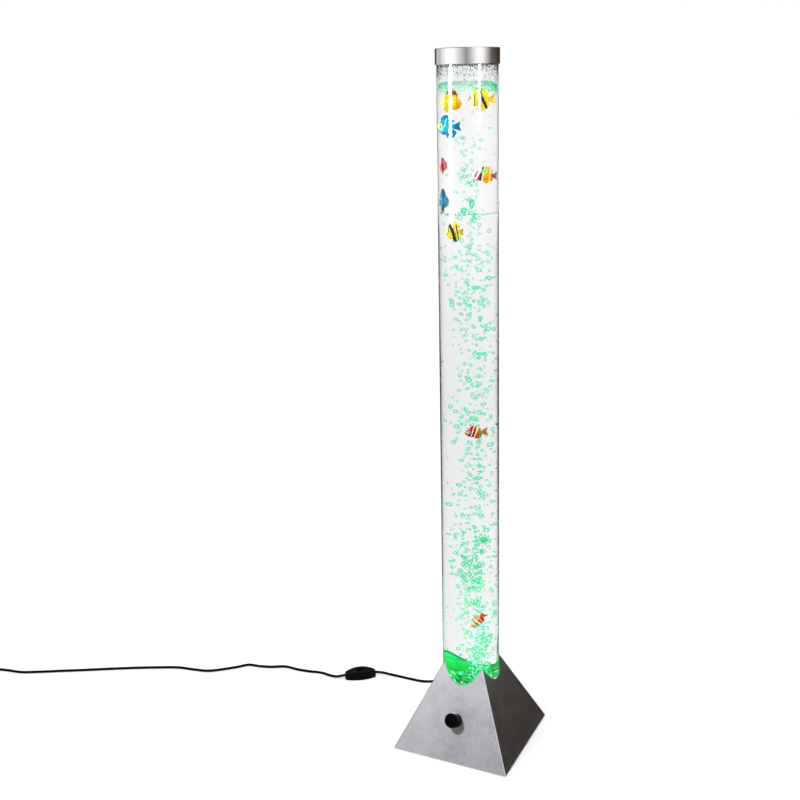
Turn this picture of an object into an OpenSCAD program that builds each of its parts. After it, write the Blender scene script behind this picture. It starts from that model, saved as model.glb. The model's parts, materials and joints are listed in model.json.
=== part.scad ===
// Bubble tube floor lamp: a clear water tube on a pyramid foot, with a lift-off cap,
// loose toy fish, an air pump, a lit tube floor and a mains lead with an inline switch.
// Millimetres. Origin on the ground under the middle of the foot, +Z up, dial towards -Y.

/* [Tube] */
// Height of the whole lamp, ground to top of the cap
lamp_h = 1200; // [1150:5:1260]
// Outer diameter of the clear tube
tube_d = 100; // [97:0.5:102]
// Wall of the clear tube
tube_wall = 3; // [2.5:0.25:4]
// Thickness of the clear disc bonded in as the floor of the tube
floor_t = 8; // [6:0.5:9]
// How far that floor lies under the lowest point of the tube's opening in the foot
floor_drop = 9; // [8:0.5:11]
// Length of tube below its floor
skirt_h = 10; // [9:0.5:12]

/* [Cap] */
// Height of the metal cap
cap_h = 25.5; // [20:0.5:35]
// Wall of the cap's skirt
cap_wall = 1.45; // [1.2:0.05:2]
// Thickness of the cap's top
cap_top_t = 1.5; // [1:0.25:2.5]
// Depth of the liner's spigot in the tube
spigot_h = 12; // [8:1:18]

/* [Foot] */
// Side of the square foot at its lower edge
base_w = 210; // [208:1:220]
// Slope of the four faces above the ground, in degrees
face_angle = 65; // [64.5:0.25:66]
// Wall of the moulded housing
shell_t = 2.5; // [2:0.25:3]
// Flat on each of the four corner edges, measured inwards
edge_flat = 0.9; // [0.5:0.1:1.5]
// Wall of the sleeve that the tube slides into
sleeve_t = 2.2; // [1.8:0.2:3]
// Thickness of the base plate
plate_t = 3; // [2.5:0.25:4]
// Height of the rubber feet below the base plate
foot_h = 1.5; // [1:0.25:2.5]
// Diameter of the rubber feet
foot_d = 16; // [12:1:20]

/* [Dial] */
// Drop of the dial's centre below the foot's opening
dial_drop = 53.8; // [49:0.2:61]
// Diameter of the knob
knob_d = 26; // [22:0.5:30]
// Length of the knob
knob_h = 19; // [15:0.5:22]
// Diameter of the dial's shaft
dial_shaft_d = 6; // [5:0.5:6.5]

/* [Pump] */
// Length of the air pump along Y
pump_l = 50; // [50:1:52]
// Width of the air pump along X
pump_w = 44; // [44:1:46]
// Height of the pump's case without its cover
pump_h = 34; // [32:1:38]
// Outer diameter of the air hose
hose_d = 6; // [5:0.5:6.5]
// Bore of the air hose
hose_bore_d = 4.2; // [3:0.1:4.3]
// Bend radius of the air hose, at its middle
hose_bend = 12; // [10:0.5:13]

/* [Lead] */
// Diameter of the mains lead
cord_d = 5; // [4.5:0.1:5]
// Turns of the lead in its coil
coil_turns = 4.25; // [3.25:1:5.25]
// Mean diameter of the coil's turns
coil_mean_d = 55; // [54:1:60]
// Step from one turn of the coil to the next
coil_pitch = 6.4; // [6.4:0.1:6.8]
// Length of the inline switch
switch_l = 60; // [60:1:66]
// Width of the inline switch
switch_w = 24; // [22:0.5:28]
// Height of the inline switch
switch_h = 17; // [16:0.5:18]

/* [Fish] */
// Thickness of the fins
fin_t = 1.2; // [0.8:0.1:1.6]
// Size of all the fish against their normal size
fish_scale = 1; // [0.85:0.05:1.1]

/* [Hidden] */

$fn = 96;
hair = 0.01;

// Clearances
slide_gap = 0.3;
screw_gap = 0.1;
glue_gap = 0.05;
run_gap = 0.05;
hose_gap = 0.1;
seat_gap = 0.4;

// Faces of the pyramid: half width at a height, and height at a half width,
// each for a face moved inwards by an inset
function half_at(z, inset = 0) =
    base_w / 2 - inset / sin(face_angle) - (z - foot_h) / tan(face_angle);
function z_at(half, inset = 0) =
    foot_h + (base_w / 2 - inset / sin(face_angle) - half) * tan(face_angle);

// Tube, sleeve and socket
tube_r = tube_d / 2;
bore_r = tube_r - tube_wall;
sleeve_r = tube_r + slide_gap;
sleeve_or = sleeve_r + sleeve_t;
opening_z = z_at(sleeve_r);
floor_z = opening_z - floor_drop;
floor_bottom = floor_z - floor_t;
tube_z = floor_bottom - skirt_h;
gasket_t = 2;
seat_z = tube_z - gasket_t;
ledge_t = 4;
ledge_z = seat_z - ledge_t;
ledge_r = bore_r - 9;
socket_wall = 3.2;
socket_or = sleeve_r + socket_wall;
socket_top = seat_z + 9;
sleeve_z = socket_top + 1.5;
liner_t = 2;
tube_top = lamp_h - cap_top_t - liner_t - glue_gap;

// Base plate, its posts and screws
plate_z = foot_h + plate_t;
plate_half = half_at(plate_z, shell_t) - seat_gap;
foot_recess = 1;
foot_edge = 0.6;
foot_inset = 39;
foot_xy = base_w / 2 - foot_inset;
boss_r = 5;
boss_inset = 21;
boss_xy = base_w / 2 - boss_inset;
boss_top = 42;
screw_r = 1.9;
screw_head_r = 3.8;
screw_head_h = 2;
screw_l = 14;
post_r = 6;
post_side_gap = 1.4;
post_ring_r = (ledge_r + socket_or) / 2;
post_angle = asin((pump_l / 2 + post_side_gap + post_r) / post_ring_r);
post_angles = [post_angle, 180 - post_angle, 180 + post_angle, 360 - post_angle];

// Water, from the tube's floor up to a little under the cap
water_drop = 57;
water_z = lamp_h - water_drop;
function water_at(share) = floor_z + share * (water_z - floor_z);

// Light board on the socket's ledge
led_board_t = 1.6;
led_board_r = bore_r - 3;
led_size = 5;
led_h = 1.4;
led_rings = [[6, 16], [12, 31]];
small_screw_r = 1.3;
small_head_r = 2.6;
small_head_h = 1.6;
led_screw_r = (ledge_r + led_board_r) / 2;
led_hole_r = 7;

// Nozzle through the tube's floor
nozzle_r = 5;
flange_r = 12;
flange_t = 3;
seal_t = 1.5;
nut_r = 9;
nut_t = 5;
barb_r = hose_bore_d / 2 - hose_gap;
barb_l = 9;
stone_r = 9;
stone_h = 11;
nozzle_top = floor_z + seal_t + flange_t;
nut_z = floor_bottom - nut_t;
dial_z = opening_z - dial_drop;
barb_z = nut_z - barb_l - 3;

// Pump: case on the base plate, workings inside
pump_side_gap = 8.19;
pad_h = 4;
pump_z = plate_z + pad_h;
pump_wall = 2;
cover_t = 2;
pump_top = pump_z + pump_h;
pump_x = half_at(pump_top + cover_t, shell_t) - pump_side_gap - pump_w / 2;
pump_inside_z = pump_z + pump_wall;
pad_r = 4;
pad_x = pump_w / 2 - 6;
pad_y = pump_l / 2 - 6;
arm_x = pump_x - 8;
arm_z = pump_z + 16;
arm_t = 2;
arm_h = 9;
pivot_y = pump_l / 2 - pump_wall - 4;
magnet_l = 4;
arm_pin_r = 1.5;
pole_gap = 1.2;
core_w = 20;
core_l = 13;
magnet_y = core_l + pole_gap + magnet_l / 2 + 0.8 - (pump_l / 2 - pump_wall);
core_h = 12;
leg_w = 4;
diaphragm_y = 6;
diaphragm_r = 9;
diaphragm_x = arm_x + arm_t / 2 + 2.6;
valve_x = diaphragm_x + 7;
valve_w = 13;
valve_l = 20;
valve_h = 24;
outlet_x = valve_x + 7;
outlet_y = diaphragm_y;
outlet_r = hose_bore_d / 2 - hose_gap;

// Air hose from the pump's outlet to the nozzle
hose_r = hose_d / 2;
hose_bore_r = hose_bore_d / 2;
run_r = norm([outlet_x, outlet_y]);
run_angle = atan2(outlet_y, outlet_x);
hose_z = pump_top + cover_t + 1;
hose_spare = nut_z - 2.5 - hose_z - 2 * hose_bend;
run_z = hose_z + hose_bend + 0.2822 * hose_spare;
check_l = 16;
check_r = 6.5;
check_nipple = 5;
check_x = run_r / 2;

// Control board and terminal block on the base plate
board_w = 44;
board_l = 48;
board_t = 1.6;
board_x = -57;
board_z = plate_z + 8;
board_top = board_z + board_t;
board_post_r = 3.5;
board_hole_x = board_w / 2 - 4;
board_hole_y = board_l / 2 - 4;
terminal_y = 46;
terminal_l = 16;
terminal_w = 18;
terminal_h = 15;

// Dial on the front face; along its axis 0 is the face's outside
dial_shaft_r = dial_shaft_d / 2;
bushing_r = dial_shaft_r + 0.9;
pot_r = 8;
pot_h = 9;
bushing_out = 5;
dial_nut_r = 6.2;
dial_nut_t = 2;
knob_gap = 0.8;
knob_r = knob_d / 2;

// Gland in the rear face, near the ground
gland_x = -50;
gland_z = 11;
gland_r = 5.5;
gland_tip_r = 3.4;
gland_flange_r = 6.3;
gland_flange_t = 3;
cord_r = cord_d / 2;
rear_y = half_at(gland_z);
gland_in_y = rear_y - 12;
gland_tip_y = rear_y + 22;
clamp_y = 72;
clamp_l = 8;
clamp_w = 18;
clamp_h = 12;

// Inline switch, where it lies on the ground
switch_at = [-273, 88, 0];
switch_yaw = 35;
switch_split = 8;
side_arc = 70;
top_arc = 90;
rocker_l = 14.8;
rocker_w = 9.4;
rocker_z = switch_h - 4.5;
rocker_pin_r = 1.2;
rocker_tilt = 8;
switch_screw_x = 17;
function on_switch(x, z) =
    switch_at + [x * cos(switch_yaw), x * sin(switch_yaw), z];

// Coil: spirals in on the ground, climbs a layer, spirals out again
ground_z = cord_r;
coil_at = [-1004, -226];
coil_layer = cord_d + 0.5;
coil_rings = 24;
coil_sides = 6;
coil_wind = (coil_turns - 0.5) / 2;
coil_out_r = (coil_mean_d + coil_pitch * coil_wind) / 2;
coil_in_r = coil_out_r - coil_pitch * coil_wind;
coil_lead_in = 10;
coil_lead_out = 24;
plug_axis_z = 6.85;
function smooth01(t) = t * t * (3 - 2 * t);
function coil_radius(u) =
    u < coil_wind ? coil_out_r - coil_pitch * u
    : u < coil_wind + 0.5 ? coil_in_r
    : coil_in_r + coil_pitch * (u - coil_wind - 0.5);
function coil_height(u) =
    ground_z + coil_layer * (u < coil_wind ? 0
        : u < coil_wind + 0.5 ? smooth01((u - coil_wind) / 0.5)
        : 1);
function coil_point(u) = [
    coil_at[0] + coil_radius(u) * cos(90 + 360 * u),
    coil_at[1] + coil_radius(u) * sin(90 + 360 * u),
    coil_height(u)
];
function coil_start() = coil_point(0) + [coil_lead_in, 0, 0];
plug_tail = [coil_point(coil_turns)[0], coil_point(coil_turns)[1] - coil_lead_out, plug_axis_z];
coil_path = concat(
    [coil_start(), coil_start() - [coil_lead_in / 2, 0, 0]],
    [for (i = [0 : coil_turns * coil_rings]) coil_point(i / coil_rings)],
    [
        [plug_tail[0], plug_tail[1] + coil_lead_out * 0.7, ground_z + coil_layer - 0.2],
        [plug_tail[0], plug_tail[1] + cord_d + 2, plug_axis_z + 0.1],
        [plug_tail[0], plug_tail[1] + cord_d, plug_axis_z],
        plug_tail
    ]
);

// Lead: routes on the ground, chosen along the lead as it lies
route_to_switch = concat(
    [[gland_x, gland_tip_y - 12, gland_z], [gland_x, gland_tip_y, gland_z]],
    [
        [-51, 130, 10], [-56, 140, 7], [-66, 147, 4], [-80, 148, ground_z],
        [-106, 140, ground_z], [-130, 129, ground_z], [-150, 120, ground_z],
        [-175, 118, ground_z], [-203, 118, ground_z], [-221, 117, ground_z + 0.5],
        [-236, 113, ground_z + 3]
    ],
    [on_switch(switch_l / 2, switch_split), on_switch(switch_l / 2 - 12, switch_split)]
);
route_to_coil = concat(
    [on_switch(12 - switch_l / 2, switch_split), on_switch(-switch_l / 2, switch_split)],
    [
        [-313, 64, ground_z + 2.5], [-332, 66, ground_z], [-352, 68, ground_z],
        [-376, 63, ground_z], [-402, 60, ground_z], [-430, 60, ground_z],
        [-456, 47, ground_z], [-480, 40, ground_z], [-502, 36, ground_z],
        [-520, 18, ground_z], [-541, -1, ground_z], [-565, -18, ground_z],
        [-595, -25, ground_z], [-628, -31, ground_z], [-665, -47, ground_z],
        [-710, -69, ground_z], [-755, -93, ground_z], [-800, -118, ground_z],
        [-845, -142, ground_z], [-880, -161, ground_z], [-910, -175, ground_z],
        [-938, -180, ground_z], [-964, -186, ground_z]
    ],
    [coil_start(), coil_start() - [12, 0, 0]]
);

// Least gap of the coil to itself: points more than a third of a turn apart
coil_gap = min([
    for (i = [0 : len(coil_path) - 1])
        for (j = [i + 8 : 1 : len(coil_path) - 1])
            norm(coil_path[i] - coil_path[j])
]) - cord_d;
echo(coil_gap_to_itself = coil_gap);

function path_length(p) =
    len(p) < 2 ? 0 : vec_sum([for (i = [1 : len(p) - 1]) norm(p[i] - p[i - 1])]);
function vec_sum(v) = v * [for (i = v) 1];
echo(lead_to_switch = path_length(smooth_route(route_to_switch, 2)));
echo(lead_to_coil = path_length(smooth_route(route_to_coil, 2)));
echo(lead_in_coil = path_length(coil_path));

// Plug with two round pins
plug_l = 36;
plug_w = 35;
plug_t = 13.7;
plug_tail_l = 12;
plug_tail_r = 3.6;
pin_r = 2;
pin_l = 19;
pin_half = 9.4;
plug_face_y = plug_tail[1] - plug_tail_l - plug_l;

// A route's smooth curve: the first and last points only give its end directions
function curve_point(a, b, c, d, t) = above_ground(
    0.5 * (2 * b + (c - a) * t + (2 * a - 5 * b + 4 * c - d) * t * t
        + (3 * b - a - 3 * c + d) * t * t * t));
function above_ground(p) = [p[0], p[1], max(p[2], ground_z)];
function smooth_route(p, steps) = concat(
    [
        for (i = [1 : len(p) - 3])
            for (s = [0 : steps - 1])
                curve_point(p[i - 1], p[i], p[i + 1], p[i + 2], s / steps)
    ],
    [p[len(p) - 2]]
);

// A tube swept along points: one ring of corners at each point, closed at both ends
function unit(v) = v / norm(v);
function along(p, i) = unit(p[min(i + 1, len(p) - 1)] - p[max(i - 1, 0)]);
function ring(centre, forward, r, sides, up) =
    let (side = unit(cross(forward, up)), top = cross(forward, side))
    [for (k = [0 : sides - 1])
        centre + r * (cos(360 * k / sides) * side + sin(360 * k / sides) * top)];

// Faces, as triangles, of a skin over equal rings of corners
function skin_faces(rings, sides) = concat(
    [for (k = [1 : sides - 2]) [0, k, k + 1]],
    [
        for (i = [0 : rings - 2])
            for (k = [0 : sides - 1])
                for (half = [0, 1])
                    let (a = i * sides + k, b = i * sides + (k + 1) % sides)
                    half == 0 ? [a, a + sides, b] : [b, a + sides, b + sides]
    ],
    [for (k = [1 : sides - 2]) let (e = (rings - 1) * sides) [e, e + k + 1, e + k]]
);
module skin(rings) {
    sides = len(rings[0]);
    polyhedron(
        points = [for (r = rings) for (p = r) p],
        faces = skin_faces(len(rings), sides),
        convexity = 6
    );
}
module swept_tube(path, r, sides, up = [0, 0, 1], ends = [undef, undef]) {
    last = len(path) - 1;
    skin([for (i = [0 : last])
        let (given = i == 0 ? ends[0] : i == last ? ends[1] : undef)
        ring(path[i], is_undef(given) ? along(path, i) : given, r, sides, up)]);
}
// The same along a route's smooth curve, its ends square to the route's end directions
module routed_tube(route, steps, r, sides, up = [0, 0, 1]) {
    n = len(route);
    swept_tube(
        smooth_route(route, steps), r, sides, up,
        [unit(route[1] - route[0]), unit(route[n - 1] - route[n - 2])]
    );
}

// A solid pyramid whose faces are moved inwards, from a height up to its apex
module pyramid(inset, from) {
    half = half_at(from, inset);
    apex = z_at(0, inset);
    for_prism = [[-half, from], [half, from], [0, apex]];
    intersection() {
        rotate([90, 0, 0]) linear_extrude(2 * base_w, center = true) polygon(for_prism);
        rotate([90, 0, 90]) linear_extrude(2 * base_w, center = true) polygon(for_prism);
    }
}

// The four corner edges' flats, as the inside of a second pyramid turned by 45 degrees
module corner_limit() {
    half = half_at(foot_h) * sqrt(2) - edge_flat;
    rise = tan(face_angle) / sqrt(2);
    outline = [[-half, foot_h], [half, foot_h], [0, foot_h + half * rise]];
    rotate([0, 0, 45]) intersection() {
        rotate([90, 0, 0]) linear_extrude(3 * base_w, center = true) polygon(outline);
        rotate([90, 0, 90]) linear_extrude(3 * base_w, center = true) polygon(outline);
    }
}
module outer_pyramid() {
    intersection() {
        pyramid(0, foot_h);
        corner_limit();
    }
}

module ring_wall(outer, inner, h) {
    difference() {
        cylinder(r = outer, h = h);
        translate([0, 0, -1]) cylinder(r = inner, h = h + 2);
    }
}
module at_corners(xy) {
    for (sx = [-1, 1]) for (sy = [-1, 1]) translate([sx * xy, sy * xy, 0]) children();
}
module at_posts() {
    for (a = post_angles) rotate([0, 0, a]) translate([post_ring_r, 0, 0]) children();
}
module rounded_block(w, l, h, r) {
    linear_extrude(h) {
        square([w - 2 * r, l], center = true);
        square([w, l - 2 * r], center = true);
        for (sx = [-1, 1]) for (sy = [-1, 1])
            translate([sx * (w / 2 - r), sy * (l / 2 - r)]) circle(r, $fn = 32);
    }
}

// Puts children on the front face at the dial: local +z is the face's outward normal
module on_front_face() {
    translate([0, -half_at(dial_z), dial_z]) rotate([face_angle, 0, 0]) children();
}

// Foot -------------------------------------------------------------------------

// Moulded shell with the tube's sleeve, corner screw bosses, dial and gland holes
module pyramid_housing() {
    color("silver") difference() {
        union() {
            difference() {
                outer_pyramid();
                pyramid(shell_t, foot_h - 1);
            }
            intersection() {
                union() {
                    translate([0, 0, sleeve_z])
                        cylinder(r = sleeve_or, h = z_at(0) - sleeve_z);
                    at_corners(boss_xy)
                        translate([0, 0, plate_z]) cylinder(r = boss_r, h = boss_top - plate_z);
                }
                outer_pyramid();
            }
            on_front_face() translate([0, 0, -shell_t - 1.2]) cylinder(r = pot_r + 2, h = 2);
        }
        translate([0, 0, sleeve_z - 1]) cylinder(r = sleeve_r, h = lamp_h);
        at_corners(boss_xy)
            translate([0, 0, plate_z - 1]) cylinder(r = screw_r + screw_gap, h = screw_l + 1);
        on_front_face()
            translate([0, 0, -shell_t - 5]) cylinder(r = bushing_r + screw_gap, h = 12);
        translate([gland_x, rear_y + 10, gland_z])
            rotate([90, 0, 0]) cylinder(r = gland_r + screw_gap, h = 20);
    }
}

// A countersunk screw pointing up, its head's face at z = 0
module plate_screw(shank_r, head_r, head_h, l) {
    difference() {
        union() {
            cylinder(r1 = head_r, r2 = shank_r, h = head_h, $fn = 32);
            cylinder(r = shank_r, h = l, $fn = 32);
        }
        for (turn = [0, 90]) rotate([0, 0, turn])
            translate([0, 0, 0.3]) cube([0.8, head_r * 1.1, 1.4], center = true);
    }
}
module screw_seat(shank_r, head_r, head_h, depth) {
    translate([0, 0, -hair])
        cylinder(r1 = head_r + screw_gap, r2 = shank_r + screw_gap, h = head_h, $fn = 32);
    translate([0, 0, -hair]) cylinder(r = shank_r + screw_gap, h = depth, $fn = 32);
}
screw_z = foot_h + 0.4;

module base_plate() {
    slots = 6;
    slot_step = 6;
    color("dimgray") difference() {
        union() {
            translate([0, 0, foot_h]) linear_extrude(plate_t) intersection() {
                square(2 * plate_half, center = true);
                rotate(45) square(2 * (plate_half * sqrt(2) - 4), center = true);
            }
            for (sx = [-1, 1]) for (sy = [-1, 1])
                translate([board_x + sx * board_hole_x, sy * board_hole_y, plate_z - hair])
                    cylinder(r = board_post_r, h = board_z - plate_z + hair, $fn = 32);
            for (sx = [-1, 1]) for (sy = [-1, 1])
                translate([pump_x + sx * pad_x, sy * pad_y, plate_z - hair])
                    cylinder(r = pad_r - 1.9, h = 2.5, $fn = 32);
        }
        at_corners(boss_xy) translate([0, 0, foot_h]) {
            cylinder(r = screw_head_r + screw_gap, h = 0.8, center = true, $fn = 32);
            translate([0, 0, 0.4]) screw_seat(screw_r, screw_head_r, screw_head_h, plate_t + 1);
        }
        at_posts() translate([0, 0, foot_h]) {
            cylinder(r = screw_head_r + screw_gap, h = 0.8, center = true, $fn = 32);
            translate([0, 0, 0.4]) screw_seat(screw_r, screw_head_r, screw_head_h, plate_t + 1);
        }
        at_corners(foot_xy)
            translate([0, 0, foot_h - 1]) cylinder(d = foot_d + 0.3, h = 1 + foot_recess);
        for (sx = [-1, 1]) for (sy = [-1, 1])
            translate([board_x + sx * board_hole_x, sy * board_hole_y, board_z - 7])
                cylinder(r = small_screw_r + screw_gap, h = 8, $fn = 32);
        for (i = [0 : slots - 1])
            translate([pump_x + (i - (slots - 1) / 2) * slot_step, 0, 0]) {
                cube([2.6, 22, 20], center = true);
                for (sy = [-1, 1]) translate([0, 11 * sy, 0]) cylinder(d = 2.6, h = 10, $fn = 32);
            }
    }
}

module base_screws() {
    color("gainsboro") at_corners(boss_xy)
        translate([0, 0, screw_z]) plate_screw(screw_r, screw_head_r, screw_head_h, screw_l);
}

// Four glued feet: flat pads with a turned edge
module rubber_feet() {
    r = foot_d / 2;
    top = foot_h + foot_recess;
    color("black") at_corners(foot_xy) rotate_extrude() polygon([
        [0, 0], [r - foot_edge, 0], [r, foot_edge], [r, top], [0, top]
    ]);
}

// Socket under the tube: a cup with a ledge on four posts
module tube_socket() {
    rib_t = 2.5;
    rib_h = 14;
    color("whitesmoke") difference() {
        union() {
            translate([0, 0, ledge_z]) ring_wall(socket_or, ledge_r, ledge_t);
            translate([0, 0, seat_z - hair])
                ring_wall(socket_or, sleeve_r, socket_top - seat_z + hair);
            at_posts() translate([0, 0, plate_z])
                cylinder(r = post_r, h = ledge_z - plate_z + hair, $fn = 48);
            at_posts() translate([0, -rib_t / 2, ledge_z - rib_h])
                rotate([-90, 0, 0]) linear_extrude(rib_t) polygon([
                    [-2, -rib_h - 0.1], [8, -rib_h - 0.1], [8, 3 - rib_h], [4, 0], [-2, 0]
                ]);
        }
        at_posts() translate([0, 0, plate_z - 1])
            cylinder(r = screw_r + screw_gap, h = screw_l + 1, $fn = 32);
        for (a = [0, 90, 180, 270]) rotate([0, 0, a]) translate([led_screw_r, 0, ledge_z - 1])
            cylinder(r = small_screw_r + screw_gap, h = ledge_t + 2, $fn = 32);
    }
}
module socket_screws() {
    color("gainsboro") at_posts()
        translate([0, 0, screw_z]) plate_screw(screw_r, screw_head_r, screw_head_h, screw_l);
}
module socket_gasket() {
    color("black") translate([0, 0, seat_z]) ring_wall(tube_r, bore_r - 0.6, gasket_t);
}

// Tube -------------------------------------------------------------------------

module acrylic_tube() {
    color("white", 0.3) translate([0, 0, tube_z]) ring_wall(tube_r, bore_r, tube_top - tube_z);
}
module tube_floor() {
    color("honeydew", 0.6) translate([0, 0, floor_bottom])
        ring_wall(bore_r - glue_gap, nozzle_r + glue_gap, floor_t);
}
module air_nozzle() {
    bore = 1.2;
    color("white") rotate_extrude() polygon([
        [bore, barb_z], [barb_r - 0.4, barb_z], [barb_r, barb_z + 2], [barb_r, nut_z - 2],
        [nozzle_r, nut_z - 2], [nozzle_r, floor_z + seal_t], [flange_r, floor_z + seal_t],
        [flange_r, nozzle_top - 0.8], [flange_r - 0.8, nozzle_top], [bore, nozzle_top]
    ]);
}
module nozzle_seal() {
    color("black") translate([0, 0, floor_z])
        ring_wall(flange_r - 1, nozzle_r + glue_gap, seal_t);
}
module nozzle_nut() {
    color("white") translate([0, 0, nut_z]) difference() {
        cylinder(r = nut_r, h = nut_t, $fn = 6);
        translate([0, 0, -1]) cylinder(r = nozzle_r + run_gap, h = nut_t + 2);
    }
}

// Porous stone that breaks the air into bubbles
module air_stone() {
    edge = 1.5;
    color("gray") translate([0, 0, nozzle_top]) rotate_extrude() polygon([
        [0, 0], [stone_r, 0], [stone_r, stone_h - edge], [stone_r - edge, stone_h], [0, stone_h]
    ]);
}

module led_board() {
    color("darkgreen") translate([0, 0, seat_z]) difference() {
        ring_wall(led_board_r, led_hole_r, led_board_t);
        for (a = [0, 90, 180, 270]) rotate([0, 0, a]) translate([led_screw_r, 0, -1])
            cylinder(r = small_screw_r + screw_gap, h = led_board_t + 2, $fn = 32);
    }
}
module led_chips() {
    color("lime") for (ring = led_rings) for (i = [0 : ring[0] - 1])
        rotate([0, 0, 360 * (i + 0.5) / ring[0]])
            translate([ring[1], 0, seat_z + led_board_t + led_h / 2])
                cube([led_size, led_size, led_h], center = true);
}
// A pan head screw pointing down, its head's seat at z = 0
module pan_screw(l) {
    translate([0, 0, -l]) cylinder(r = small_screw_r, h = l + hair, $fn = 32);
    difference() {
        cylinder(r = small_head_r, h = small_head_h, $fn = 32);
        translate([0, 0, small_head_h]) cube([0.7, 2 * small_head_r, 1], center = true);
    }
}
module led_screws() {
    color("gainsboro") for (a = [0, 90, 180, 270]) rotate([0, 0, a])
        translate([led_screw_r, 0, seat_z + led_board_t]) pan_screw(5);
}

// Pump -------------------------------------------------------------------------

module pump_case() {
    color("black") translate([pump_x, 0, pump_z]) difference() {
        rounded_block(pump_w, pump_l, pump_h, 4);
        translate([0, 0, pump_wall])
            rounded_block(pump_w - 2 * pump_wall, pump_l - 2 * pump_wall, pump_h, 2);
        for (sx = [-1, 1]) for (sy = [-1, 1])
            translate([sx * pad_x, sy * pad_y, -1]) cylinder(r = 1.6, h = 2, $fn = 32);
    }
}
module pump_cover() {
    lip = 2;
    inside_w = pump_w - 2 * pump_wall - 2 * screw_gap;
    inside_l = pump_l - 2 * pump_wall - 2 * screw_gap;
    color("black") translate([pump_x, 0, pump_top]) difference() {
        union() {
            rounded_block(pump_w, pump_l, cover_t, 4);
            difference() {
                translate([0, 0, -lip]) rounded_block(inside_w, inside_l, lip + hair, 1.9);
                translate([0, 0, -lip - 1])
                    rounded_block(inside_w - 3, inside_l - 3, lip + 1, 1);
            }
        }
        translate([outlet_x - pump_x, outlet_y, -1])
            cylinder(r = outlet_r + 0.6, h = cover_t + 2, $fn = 48);
        for (i = [0 : 4]) translate([-12, -16 + 3.5 * i, -1]) cube([12, 1.5, cover_t + 2]);
    }
}
// Soft mounts between the plate's pegs and the case
module pump_pads() {
    color("dimgray") for (sx = [-1, 1]) for (sy = [-1, 1])
        translate([pump_x + sx * pad_x, sy * pad_y, plate_z]) difference() {
            union() {
                cylinder(r = pad_r, h = pad_h, $fn = 32);
                cylinder(r = 1.5, h = pad_h + 0.9, $fn = 32);
            }
            translate([0, 0, -1]) cylinder(r = pad_r - 1.8, h = 3.7, $fn = 32);
        }
}
// Stack of E-shaped plates on a foot: three legs towards the magnet
module pump_core() {
    end_y = magnet_y - magnet_l / 2 - pole_gap;
    window = (core_w - 3 * leg_w) / 2;
    color("lightslategray") translate([arm_x, end_y - core_l, arm_z - core_h / 2]) {
        difference() {
            translate([-core_w / 2, 0, 0]) cube([core_w, core_l, core_h]);
            for (sx = [-1, 1]) translate([sx * (leg_w + window) / 2 - window / 2, leg_w, -1])
                cube([window, core_l, core_h + 2]);
        }
        translate([-core_w / 2, 0, pump_inside_z - arm_z + core_h / 2])
            cube([core_w, leg_w, arm_z - core_h / 2 - pump_inside_z + hair]);
    }
}
module pump_coil() {
    end_y = magnet_y - magnet_l / 2 - pole_gap;
    window = (core_w - 3 * leg_w) / 2;
    wind_l = core_l - leg_w - 1.4;
    color("peru") translate([arm_x, end_y - core_l + leg_w + 0.2 + wind_l / 2, arm_z])
        difference() {
            rotate([90, 0, 0]) linear_extrude(wind_l, center = true) difference() {
                square([leg_w + 2 * window - 0.6, core_h + 2 * window - 0.6], center = true);
                square([leg_w + 0.2, core_h + 0.2], center = true);
            }
        }
}
// Rocking arm with the magnet, on a pin between the case's floor and cover
module pump_arm() {
    color("darkslategray") difference() {
        union() {
            translate([arm_x - arm_t / 2, magnet_y - magnet_l / 2 + 1, arm_z - arm_h / 2])
                cube([arm_t, pivot_y - magnet_y + magnet_l / 2 - 1, arm_h]);
            translate([arm_x - 3, magnet_y - magnet_l / 2, arm_z - 5]) cube([6, magnet_l, 10]);
            translate([arm_x, pivot_y, arm_z - arm_h / 2 - 2]) cylinder(r = 3, h = arm_h + 4, $fn = 48);
            translate([arm_x, diaphragm_y, arm_z]) rotate([0, 90, 0])
                cylinder(r = 2.5, h = diaphragm_x - arm_x - 0.6, $fn = 32);
        }
        translate([arm_x, pivot_y, arm_z - arm_h]) cylinder(r = arm_pin_r, h = 2 * arm_h, $fn = 48);
    }
}
// Rubber cup between the arm and the valve block
module pump_diaphragm() {
    depth = valve_x - diaphragm_x;
    r = diaphragm_r;
    color("black") translate([diaphragm_x, diaphragm_y, arm_z]) rotate([0, 90, 0])
        rotate_extrude() polygon([
            [0, 0], [4, 0], [6, 1.2], [r - 1, depth - 3.5], [r, depth - 2.5], [r, depth],
            [r - 1.6, depth], [r - 1.6, depth - 2.2], [4.6, 1.6], [0, 1.6]
        ]);
}
// Valve block with its outlet, and the arm's pin beside it
module pump_valve() {
    color("ivory") {
        translate([valve_x, diaphragm_y - valve_l / 2, pump_inside_z])
            cube([valve_w, valve_l, valve_h]);
        translate([outlet_x, outlet_y, pump_inside_z + valve_h - hair])
            cylinder(r = outlet_r + 0.4, h = pump_top + cover_t - pump_inside_z - valve_h, $fn = 48);
        translate([outlet_x, outlet_y, pump_top + cover_t - 1])
            cylinder(r = outlet_r, h = 9, $fn = 48);
        translate([arm_x, pivot_y, pump_inside_z])
            cylinder(r = arm_pin_r - run_gap, h = pump_h - pump_wall - hair, $fn = 48);
    }
}

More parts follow.
